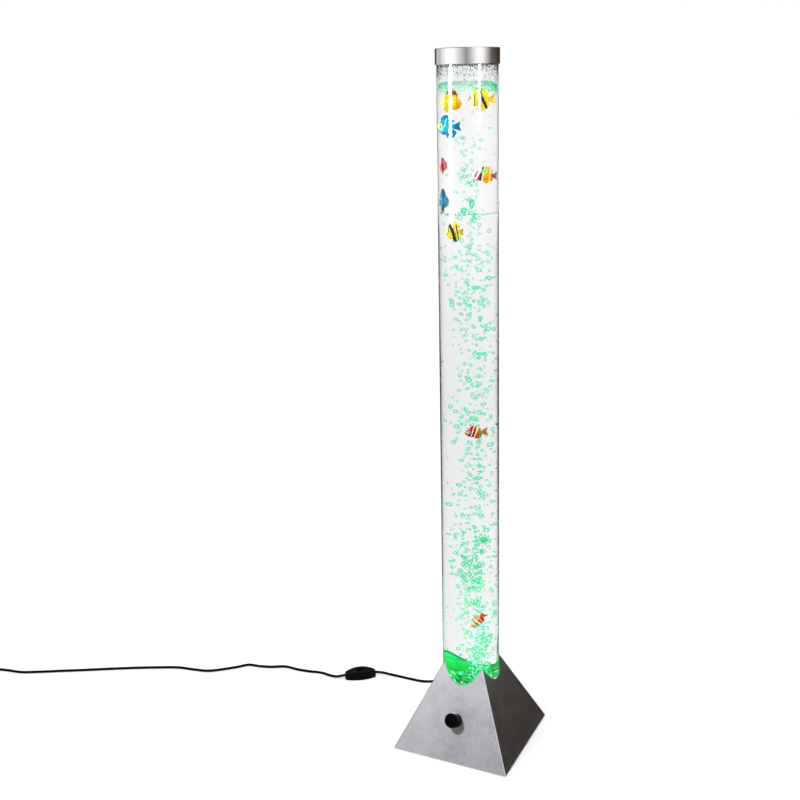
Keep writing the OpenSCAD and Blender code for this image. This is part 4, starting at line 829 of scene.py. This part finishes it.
def fish_mesh(name):
    """One toy fish: body, three fins, two side fins and two eyes, in place of its CAD node."""
    at, yaw, pitch, (l, h, w), (dorsal, anal, tail_l, tail_s) = FISH[name]
    verts, faces = [], []

    def along(t):
        return l * (0.5 - t)

    def add_grid(rows, closed=False):
        base = len(verts)
        for row in rows:
            verts.extend(row)
        faces.extend(bands(len(rows[0]), len(rows), base, closed))
        return base

    # Body
    stations = [0.004, 0.018, 0.04, 0.07, 0.11, 0.155, 0.2, 0.255, 0.31, 0.37, 0.43, 0.49, 0.55,
                0.61, 0.67, 0.73, 0.78, 0.83, 0.88, 0.94, 1.0]
    sides = 20
    base = add_grid([[(along(t), half_w(t, w) * math.cos(a) * (0.9 + 0.1 * abs(math.cos(a))),
                       -half_h(t, h) * math.sin(a)) for a in around(sides)] for t in stations], True)
    nose = len(verts)
    verts.append((along(0.0) + 0.25, 0, -0.01 * h))
    faces.extend((nose, base + k, base + (k + 1) % sides) for k in range(sides))
    end = len(verts)
    verts.append((along(1.0) - 0.4, 0, 0))
    last = base + (len(stations) - 1) * sides
    faces.extend((end, last + (k + 1) % sides, last + k) for k in range(sides))

    # Fins: lens-shaped sheets, ragged at the free edge, thin at the tip
    def fin(roots, tips, thick, sway):
        steps = 6
        rows_a, rows_b = [], []
        for (rx, rz), (tx, tz) in zip(roots, tips):
            row_a, row_b = [], []
            for s in range(steps + 1):
                f = s / steps
                half = thick * (1 - 0.75 * f) / 2
                bend = sway * f * f
                x, z = rx + (tx - rx) * f, rz + (tz - rz) * f
                row_a.append((x, bend + half, z))
                row_b.append((x, bend - half, z))
            rows_a.append(row_a)
            rows_b.append(row_b[::-1])
        base_a, base_b = add_grid(rows_a), add_grid(rows_b)
        n, count = steps + 1, len(rows_a)
        for i in range(count - 1):
            a, b = base_a + i * n + steps, base_b + i * n
            faces.append((a, a + n, b + n, b))
        for i, flip in ((0, False), (count - 1, True)):
            for s in range(steps):
                a, b = base_a + i * n + s, base_b + i * n + steps - s
                quad = (a, a + 1, b - 1, b)
                faces.append(quad[::-1] if flip else quad)

    def long_fin(side, size, span, rear, arch, notch, thick, sway):
        """The fin along the back (side 1) or the belly (side -1)."""
        roots, tips = [], []
        for i in range(15):
            f = i / 14
            t = span[0] + span[1] * f
            edge = half_h(t, h)
            roots.append((along(t), side * edge * 0.6))
            reach = size * power(sind(arch[0] + arch[1] * f), 0.7)
            tips.append((along(t) - size * rear * f, side * (edge + reach - 0.3 - notch * (i % 2))))
        fin(roots, tips, thick, sway)

    long_fin(1, dorsal, (0.26, 0.64), 0.35, (20, 145), 0.5, 1.5, 0.5)
    long_fin(-1, anal, (0.5, 0.42), 0.4, (15, 150), 0.4, 1.4, -0.4)
    places = [-1 + i / 8 for i in range(17)]
    fin([(along(0.9), 0.1 * h * a) for a in places],
        [(along(1.0) - tail_l * (0.78 + 0.22 * abs(a)) + 0.5 * (i % 2), tail_s / 2 * a)
         for i, a in enumerate(places)], 1.5, 0.6)
    for side in (1, -1):
        outline = [(1.5, -side * 1.0), (-1.5, -side * 1.0), (-6, side * 4.4), (-4.4, side * 4.9),
                   (-3, side * 4.8)]
        base = len(verts)
        ox, oy, oz = along(0.34), side * half_w(0.34, w) * 0.9, -0.1 * h  # where the side fin grows
        lean = math.radians(28 * side)
        for lift in (0.35, -0.35):
            for x, y in outline:
                yy = y * math.cos(lean) - lift * math.sin(lean)
                zz = y * math.sin(lean) * side + lift * math.cos(lean)
                verts.append((ox + x, oy + yy, oz + zz - (0.8 if abs(y) > 2 else 0)))
        m = len(outline)
        whole = [tuple(range(base, base + m)), tuple(range(base + 2 * m - 1, base + m - 1, -1))]
        whole += [(base + k, base + m + k, base + m + (k + 1) % m, base + (k + 1) % m) for k in range(m)]
        faces.extend(whole if side > 0 else [face[::-1] for face in whole])
    picks = [0] * len(faces)

    # Eyes: a pale ring and a black bead
    def bead(cx, cy, cz, radius, flat, mark):
        rings, segs = 8, 14
        base = len(verts)
        for i in range(rings + 1):
            a = math.pi * i / rings
            verts.extend((cx + radius * math.sin(a) * math.cos(b), cy + radius * flat * math.cos(a),
                          cz + radius * math.sin(a) * math.sin(b)) for b in around(segs))
        faces.extend(bands(segs, rings + 1, base, flip=True))
        picks.extend([mark] * (rings * segs))

    for side in (1, -1):
        ey = side * half_w(0.13, w) * 0.78
        bead(along(0.13), ey, 0.1 * h, 1.5, 0.55, 2)
        bead(along(0.13) + 0.1, ey + side * 0.3, 0.1 * h, 1.05, 0.75, 1)

    turned_to = Matrix.Rotation(math.radians(yaw), 4, "Z") @ Matrix.Rotation(math.radians(-pitch), 4, "Y")
    place = Matrix.Translation(at) @ turned_to
    sides_uv = [(0.5 - v[0] / l, 0.5 + v[2] / h) for v in verts]
    spots = [tuple(place @ Vector(v)) for v in verts]
    fish = mesh_piece("toy_fish_" + name, spots, faces, [fish_paint(name), EYE_BLACK, EYE_RING],
                      picks, name + "_fish")
    layer = fish.data.uv_layers.new(name="side")
    for loop in fish.data.loops:
        layer.data[loop.index].uv = sides_uv[loop.vertex_index]
    crease(fish.data, 0.9, weld=True)
    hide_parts("fish_" + name)


for name in FISH:
    fish_mesh(name)

# ---------------------------------------------------------------- bubbles
rng = random.Random(29)
SWEEP = {"lemon": (-25, 3), "gold": (-55, 0), "cyan": (-10, 35), "scarlet": (-12, 10), "clown": (-150, 15),
         "blue": (0, 4), "banded": (-80, 0), "striped": (-200, 200), "low": (-70, 40)}
# The space in which each fish slides up and down
KEEP_OFF = []
for name, (at, yaw, _, (l, _, w), (_, _, tail_l, _)) in FISH.items():
    lo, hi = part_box("fish_" + name)
    down, up = SWEEP[name]
    yaw = math.radians(yaw)
    KEEP_OFF.append((at, math.cos(yaw), math.sin(yaw), l / 2, l / 2 + tail_l, w / 2 + 3.5,
                     lo.z * 1000 + down, hi.z * 1000 + up))


def clear_of_fish(x, y, z, r):
    """Whether a bubble stays out of every fish's space."""
    for at, c, s, front, reach, half, low, high in KEEP_OFF:
        if low - r - 0.5 < z < high + r + 0.5:
            dx, dy = x - at[0], y - at[1]
            run, off = dx * c + dy * s, -dx * s + dy * c
            if -reach - r < run < front + r + 1 and abs(off) < half + r:
                return False
    return True


BALL = {}


def ball(level):
    """Points and triangles of a ball of radius 1, made once for each level."""
    if level not in BALL:
        made = bmesh.new()
        bmesh.ops.create_icosphere(made, subdivisions=level, radius=1)
        made.verts.ensure_lookup_table()
        BALL[level] = ([v.co.copy() for v in made.verts],
                       [tuple(v.index for v in f.verts) for f in made.faces])
        made.free()
    return BALL[level]


def in_plane(q, d):
    """The x and y of a place q across the photograph and d away from the camera."""
    return q * ACROSS[0] + d * AWAY[0], q * ACROSS[1] + d * AWAY[1]


def from_plane(x, y):
    """The inverse of in_plane."""
    return x * ACROSS[0] + y * ACROSS[1], x * AWAY[0] + y * AWAY[1]


def bubble_cloud(name, spots, material):
    """One mesh of many bubbles. Their faces look inwards, because the air is inside and the water outside."""
    verts, faces = [], []
    for x, y, z, r, flat, level, *tilt in spots:
        shape, tris = ball(level)
        base = len(verts)
        c, s = (math.cos(tilt[0]), math.sin(tilt[0])) if tilt else (1.0, 0.0)
        for v in shape:
            across, away = (r * part for part in from_plane(v.x, v.y))
            side, up = across * c + r * flat * v.z * s, r * flat * v.z * c - across * s
            dx, dy = in_plane(side, away)
            verts.append((x + dx, y + dy, z + up))
        faces.extend(tuple(base + i for i in reversed(t)) for t in tris)
    return mesh_piece(name, verts, faces, [material])


TAKEN = []
NOZZLE_TOP, NOZZLE_R, BUBBLE_REACH = 127, 14, 46.3


def hides_fish(q, d, z, r):
    """Whether a bubble would stand in front of one of these fish, seen from the camera."""
    for name in ("low", "striped", "gold", "clown"):
        x, y, high = FISH[name][0]
        across, away = from_plane(x, y)
        if d < away and abs(q - across) < 13 + r and abs(z - high - 0.22 * (away - d)) < 10 + r:
            return True
    return False


def try_bubble(q, d, z, r, flat, level):
    """The bubble, or None where it would meet the wall, the nozzle, a fish or another bubble."""
    x, y = in_plane(q, d)
    if hides_fish(q, d, z, r) and rng.random() < 0.85:
        return None
    out = math.hypot(x, y)
    if out + r > BUBBLE_REACH or not clear_of_fish(x, y, z, r) or z - r < NOZZLE_TOP and out < NOZZLE_R + r:
        return None
    for ox, oy, oz, orad in TAKEN[-260:]:
        if (ox - x) ** 2 + (oy - y) ** 2 + (oz - z) ** 2 < (orad + r + 0.15) ** 2:
            return None
    TAKEN.append((x, y, z, r))
    return (x, y, z, r, flat, level)


pale_skin = bubble_skin("bubble_skin_high", (0.86, 1.0, 0.94), (0.05, 0.74, 0.46), 0.05)
clear_skin = bubble_skin("bubble_skin", (0.68, 1.0, 0.86), (0.0, 0.68, 0.38), 0.09)
green_skin = bubble_skin("bubble_skin_lit", (0.74, 1.0, 0.88), (0.0, 0.64, 0.32), 0.2)
spark_skin = bubble_skin("bubble_skin_spark", (0.9, 1.0, 0.96), (0.0, 0.6, 0.3), 0.35, 0.75)
column, base_cloud, high_cloud, spark_cloud = [], [], [], []


def cloud_at(z):
    """The cloud that a bubble at this height belongs to."""
    return base_cloud if z < 300 else column if z < 860 else high_cloud


plan = [120 + 180 * rng.random() ** 1.25 for _ in range(620)]
plan += [300 + 560 * rng.random() ** 1.1 for _ in range(1000)]
plan += [860 + 250 * rng.random() ** 1.6 for _ in range(330)]
plan.sort()
for z in plan:
    share = min(1.0, (z - 120) / 260)
    centre = 8 - 3 * share + 3.5 * math.sin(z / 95.0 + 1) + 2.5 * math.sin(z / 37.0 + 2)
    stray = rng.random() < 0.14
    q = rng.uniform(-40, 44) if stray else rng.gauss(centre, 8.5 + 4.5 * share)
    d = rng.gauss(0, 12 + 6 * share)
    r = min(3.4, max(1.0, rng.lognormvariate(0.66, 0.32))) * (0.7 if stray or z > 1010 else 1)
    flat = rng.uniform(1.0, 1.35)
    made = try_bubble(q, d, z, r, flat, 2)
    if made:
        cloud_at(z).append(made)
for _ in range(330):
    z = 112 + 110 * rng.random() ** 1.5
    r = rng.uniform(0.7, 1.35)
    made = try_bubble(rng.gauss(9, 9), rng.uniform(-42, -12), z, r, 1.25, 2)
    if made:
        (spark_cloud if rng.random() < 0.55 else base_cloud).append(made)
for _ in range(70):
    a = CAMERA_AZ + math.radians(rng.uniform(60, 90))
    r = rng.uniform(0.9, 1.7)
    x, y = polar(46.6 - r, a)
    z = rng.uniform(210, 1090)
    if clear_of_fish(x, y, z, r):
        cloud_at(z).append((x, y, z, r, 1.3, 2))


def burst(q, d, z, r, flat, count, spread, cloud):
    """A big dome-shaped bubble with small ones in its wake."""
    first = try_bubble(q, d, z, r, flat, 3)
    if first:
        cloud.append(first)
    for _ in range(count):
        made = try_bubble(q + rng.gauss(0, spread), d + rng.gauss(0, spread * 0.6),
                          z - rng.uniform(-0.6, 1.6) * spread * 1.4, rng.uniform(1.0, 2.6), 0.85, 2)
        if made:
            cloud.append(made)


for dome in (
        (4, -24, 957, 3.4, 2.0, 3, 5, high_cloud), (-7, -24, 946, 4.2, 1.0, 6, 5, high_cloud),
        (3, -22, 941, 5.0, 0.7, 14, 6, high_cloud), (11, -24, 938, 3.6, 0.9, 6, 4, high_cloud),
        (18, -20, 382, 6.0, 0.6, 16, 5, column), (14, 24, 700, 5.5, 0.6, 12, 5, column),
        (20, -24, 205, 6.5, 0.55, 16, 6, base_cloud), (3, -26, 238, 5.0, 0.7, 14, 6, base_cloud),
        (8, -30, 165, 5.5, 0.6, 16, 6, base_cloud), (10, 26, 480, 5.0, 0.65, 12, 5, column)):
    burst(*dome)


def petals(q, d, z, length, width, angles, cloud, off):
    """Long bubbles torn upwards and outwards from one spot."""
    for tilt in angles:
        a = math.radians(tilt)
        x, y = in_plane(q + off * length * math.sin(a), d)
        high = z + off * length * 1.2 * math.cos(a)
        if clear_of_fish(x, y, high, length) and math.hypot(x, y) + width < 46:
            cloud.append((x, y, high, width, length / width, 2, a))


for petal in (
        (3, -26, 950, 8.5, 3.2, (-3, 16), high_cloud, 0.6),
        (-7, -24, 940, 5.5, 3.4, (-80, -20), high_cloud, 0.7),
        (6, -22, 936, 6.0, 3.0, (165, -160, 110), high_cloud, 0.8),
        (17, -22, 374, 8.5, 2.6, (-68, -40, -14, 12, 38, 66), column, 1.05),
        (15, -24, 366, 5.0, 2.8, (130, 180, -130), column, 1.0),
        (22, -20, 178, 12.0, 2.0, (-46, -20, 4, 28), base_cloud, 1.0),
        (8, -30, 178, 8.0, 2.6, (-75, 75, 130, -130), base_cloud, 1.2),
        (7, 4, 222, 5.5, 2.8, (-95, -65, -35, 35, 65, 95), base_cloud, 2.6),
        (10, -20, 300, 6.0, 2.8, (-60, -15, 25, 65), base_cloud, 1.0),
        (4, -22, 262, 6.0, 2.8, (-70, -25, 20, 65), base_cloud, 1.0),
        (12, -24, 330, 5.5, 2.6, (-50, 0, 50), column, 1.0)):
    petals(*petal)
# A line of small bubbles that cling to the wall
for i in range(260):
    a = math.radians(CAMERA_DEG + rng.uniform(-88, 92))
    r = rng.uniform(0.55, 1.0)
    x, y = polar(46.7 - r, a)
    z = 941 + rng.gauss(0, 0.7)
    if clear_of_fish(x, y, z, r):
        high_cloud.append((x, y, z, r, 1.0, 1))
bubble_cloud("bubbles_column", column, clear_skin)
bubble_cloud("bubbles_low", base_cloud, green_skin)
bubble_cloud("bubbles_high", high_cloud, pale_skin)
bubble_cloud("bubbles_bright", spark_cloud, spark_skin)

# Foam at the surface, and drops on the wall above it
foam = []
for _ in range(2000):
    a = rng.random() * 2 * math.pi
    if rng.random() > 0.5 + 0.5 * math.sin(a - CAMERA_AZ) ** 2:
        continue
    r = rng.uniform(0.7, 1.9)
    reach = 46.7 - r - abs(rng.gauss(0, 5.0 if math.cos(a - 0.45) > 0 else 2.4))
    sink = 6.5 * abs(math.sin(a - CAMERA_AZ + 0.3 * math.sin(5 * a))) + 1.2
    z = WATER_Z + rng.uniform(-1.2, 1.2) if rng.random() < 0.3 else WATER_Z - r - abs(rng.gauss(0, sink))
    x, y = polar(reach, a)
    if clear_of_fish(x, y, z, r) and all(
            (ox - x) ** 2 + (oy - y) ** 2 + (oz - z) ** 2 > (0.93 * (orad + r)) ** 2
            for ox, oy, oz, orad, _, _ in foam):
        foam.append((x, y, z, r, 1.0, 2))
bubble_cloud("surface_foam", foam, bubble_skin("foam_skin", (0.85, 1.0, 0.94), (0.2, 0.88, 0.62), 0.1))

# Condensation: drops on the wall between the water and the cap, thickest right under the cap
drops, cap_drops = [], []
for i in range(1250):
    a = rng.random() * 2 * math.pi
    r = rng.uniform(0.65, 1.15)
    z = 1174.9 - abs(rng.gauss(0, 2.0)) if i % 5 < 3 else 1174 - 24 * rng.random() ** 3
    cap_drops.append((*polar(WALL_R - r * 0.55, a), z, r))
for i in range(420):
    a = rng.random() * 2 * math.pi
    r = rng.uniform(0.35, 0.8)
    drops.append((*polar(WALL_R - r * 0.55, a), 1172 - 26 * rng.random() ** 1.3, r))


def drop_cloud(name, spots, material):
    """Drops that are a little flatter across than they are high."""
    verts, faces = [], []
    shape, tris = ball(1)
    for x, y, z, r in spots:
        base = len(verts)
        verts.extend((x + r * v.x * 0.75, y + r * v.y * 0.75, z + r * v.z) for v in shape)
        faces.extend(tuple(base + i for i in t) for t in tris)
    return mesh_piece(name, verts, faces, [material])


def clear_drops():
    """Drops on the wall, painted dark green towards the cap as painted shade of the cap above."""
    p = Paint("condensation")
    speckle = p.noise(400, 2, 0.5)
    # painted shade: the drops turn dark green towards the cap
    high = p.step(p.xyz()[2], 1.146, 1.171)
    tone = p.mix(high, (0.7, 0.82, 0.76), (0.003, 0.03, 0.02))
    tone = p.tinted(tone, speckle, 0.3, (0.6, 0.7, 0.64))
    return p.surface(tone, 0.04, None, (0.9, 0.95, 0.93), IOR=1.07, Transmission_Weight=1.0)


def dark_drops():
    """Drops that crowd right under the cap, painted dark green as painted shade of the cap."""
    p = Paint("condensation_under_cap")
    tone = p.mix(p.noise(500, 2, 0.5), (0.0, 0.03, 0.018), (0.01, 0.1, 0.06))
    return p.surface(tone, 0.1, None, (0.5, 0.7, 0.6), IOR=1.1, Transmission_Weight=0.2,
                     Specular_IOR_Level=0.2)


drop_cloud("wall_drops", drops, clear_drops())
drop_cloud("cap_drops", cap_drops, dark_drops())

# ---------------------------------------------------------------- studio
def sheet(name, paint, x_span, y_span, z):
    """A flat rectangle of the studio."""
    (x0, x1), (y0, y1) = x_span, y_span
    mesh = bpy.data.meshes.new(name)
    mesh.from_pydata([(x0, y0, z), (x1, y0, z), (x1, y1, z), (x0, y1, z)], [], [(0, 1, 2, 3)])
    mesh.materials.append(paint.mat)
    obj = link(bpy.data.objects.new(name, mesh))
    return obj


def diffuse(paint, colour):
    return paint.feed("BsdfDiffuse", {0: colour}).outputs[0]


def studio_floor():
    """Pale floor. Its glow depends on what meets it: the camera sees it white, the tube's glass sees it
    grey and darker nearby, and mirrors see a dim floor near the lamp."""
    p = Paint("studio_floor")
    ways = p.node("LightPath").outputs
    x, y, _ = p.xyz()
    distance = p.math("SQRT", p.madd(y, y, p.times(x, x)))
    behind = p.plus(p.times(x, -TO_CAMERA[0]), p.times(y, -TO_CAMERA[1]))
    behind = p.over(behind, p.math("MAXIMUM", distance, 0.01))
    open_white = p.madd(p.step(distance, 0.6, 2.4), 0.15, 0.35)
    through = p.madd(p.step(distance, 1.2, 5.0), 0.21, 0.21)
    # painted shade: through the glass the floor is dark on the camera's side, which darkens the tube's edges
    through = p.times(through, p.step(behind, -0.1, 0.95))
    seen = p.times(ways["Is Camera Ray"], open_white)
    lift = p.feed("Emission", {0: p.mix(ways["Is Transmission Ray"], (1.0, 1.0, 1.0), (1.0, 0.95, 0.98)),
                               1: p.madd(ways["Is Transmission Ray"], through, seen)}).outputs[0]
    in_mirror = p.math("SUBTRACT", ways["Is Glossy Ray"], ways["Is Transmission Ray"], clamp=True)
    near_by = p.fade(distance, 3.2, 4.8)
    matt = p.feed("MixShader", {0: p.times(in_mirror, near_by), 1: diffuse(p, (0.9, 0.9, 0.9)),
                                2: diffuse(p, (0.3, 0.3, 0.3))}).outputs[0]
    p.end(p.feed("AddShader", {0: matt, 1: lift}).outputs[0])
    sheet("studio_floor", p, (-30, 30), (-30, 30), -0.0004)


def studio_flag():
    """A dark card beside the foot. Only mirrors see it."""
    p = Paint("studio_flag")
    p.end(diffuse(p, (0.028, 0.017, 0.01)))
    flag = sheet("studio_flag", p, (0.112, 4.0), (-2.4, 3.0), 0.0004)
    flag.visible_camera = flag.visible_diffuse = flag.visible_transmission = flag.visible_shadow = False


def studio_world():
    """White to the camera. Mirrors see a room with bright and dark walls, glass sees a pale backdrop."""
    world = bpy.data.worlds.new("studio")
    scene.world = world
    world.use_nodes = True
    p = Paint("studio", world)
    ways = p.node("LightPath").outputs
    dx, dy, dz = p.xyz(p.node("TexCoord").outputs["Generated"])
    ca, sa = TO_CAMERA
    ahead = p.plus(p.times(dx, ca), p.times(dy, sa))
    aside = p.plus(p.times(dx, -sa), p.times(dy, ca))
    bearing = p.madd(p.math("ARCTAN2", aside, ahead), 0.5 / math.pi, 0.5)

    def walls(*stops):
        return p.ramp(bearing, [(degrees / 360 + 0.5, tone) for degrees, tone in stops])

    room = walls(
        (-180, 0.03), (-108, 0.03), (-96, 0.8), (-82, 1.4), (-48, 1.42), (-33, 1.0), (-18, 0.7), (-4, 0.28),
        (11, 0.6), (26, 1.08), (40, (1.4, 1.38, 1.36)), (57, (1.2, 1.17, 1.14)), (72, (0.64, 0.6, 0.57)),
        (90, (0.13, 0.112, 0.098)), (112, (0.064, 0.042, 0.028)), (150, (0.028, 0.018, 0.012)), (180, 0.02))
    over_front = walls((-118, 0.0), (-104, 0.96), (-8, 0.96), (12, 0.0))
    room = p.tinted(room, p.step(dz, 0.06, 0.2), over_front, (0.0, 0.0, 0.0))
    over_rear = walls((-114, 1.0), (-102, 0.0), (105, 0.0), (140, 1.0))
    room = p.tinted(room, p.step(dz, 0.38, 0.58), over_rear, (0.55, 0.55, 0.55))
    room = p.mix(p.step(dz, 0.8, 0.95), room, (0.5, 0.5, 0.5))
    beyond = walls((-180, 0.93), (-130, 0.93), (-100, 0.82), (-80, 0.75), (80, 0.75), (100, 0.82),
                   (130, 0.93), (180, 0.93))
    tone = p.mix(ways["Is Glossy Ray"], (0.62, 0.62, 0.62), room)
    tone = p.mix(ways["Is Transmission Ray"], tone, beyond)
    tone = p.mix(ways["Is Camera Ray"], tone, (1.0, 1.0, 1.0))
    p.end(p.feed("Background", {0: tone}).outputs[0])


def area_lamp(name, size, energy, spot, aim, only=None, hidden_from=()):
    """An area lamp at spot that faces aim. It lights all things, or one object alone."""
    light = bpy.data.lights.new(name, "AREA")
    if isinstance(size, tuple):
        light.shape = "RECTANGLE"
        light.size, light.size_y = size
    else:
        light.shape = "DISK"
        light.size = size
    light.energy = energy
    obj = link(bpy.data.objects.new(name, light))
    obj.matrix_world = Matrix.Translation(spot) @ (aim - spot).to_track_quat("-Z", "Y").to_matrix().to_4x4()
    for kind in ("camera", *hidden_from):
        setattr(obj, "visible_" + kind, False)
    if only:
        group = bpy.data.collections.new("lit_by_" + name)
        group.objects.link(only)
        obj.light_linking.receiver_collection = group
    return light


def panel(name, bearing_deg, distance, low, high, width, radiance, only):
    """A flat panel that mirrors alone see. It stands at a bearing from the camera's and faces the axis."""
    a = CAMERA_AZ + math.radians(bearing_deg)
    middle = (low + high) / 2
    return area_lamp(name, (width, high - low), radiance * math.pi * width * (high - low),
                     Vector((distance * math.cos(a), distance * math.sin(a), middle)),
                     Vector((0, 0, middle)), only, ("diffuse", "transmission"))


studio_floor()
studio_flag()
studio_world()
panel("strip_left", -66, 2.0, 1.0, 1.66, 0.5, 84, tube)
panel("strip_right", 43.5, 2.0, 1.44, 1.7, 0.34, 74, tube).color = (1.0, 0.97, 0.93)
for sign in (-1, 1):
    panel("edge_panel", 145 * sign, 2.5, 0.76, 1.36, 3.2, 1.1, tube)
panel("cap_side", -118, 2.0, 0.7, 1.9, 1.6, 0.55, nodes["top_cap"])
area_lamp("key", 1.4, 42, Vector((-1.4, -2.2, 2.6)), Vector((0, 0, 0.5)), None, ("glossy",))
foot_middle = Vector((0, -0.07, 0.07))
area_lamp("foot_key", 0.45, 214, foot_middle + Vector((-0.31, -0.53, 0.79)) * 3.4, foot_middle,
          nodes["pyramid_housing"], ("transmission",))
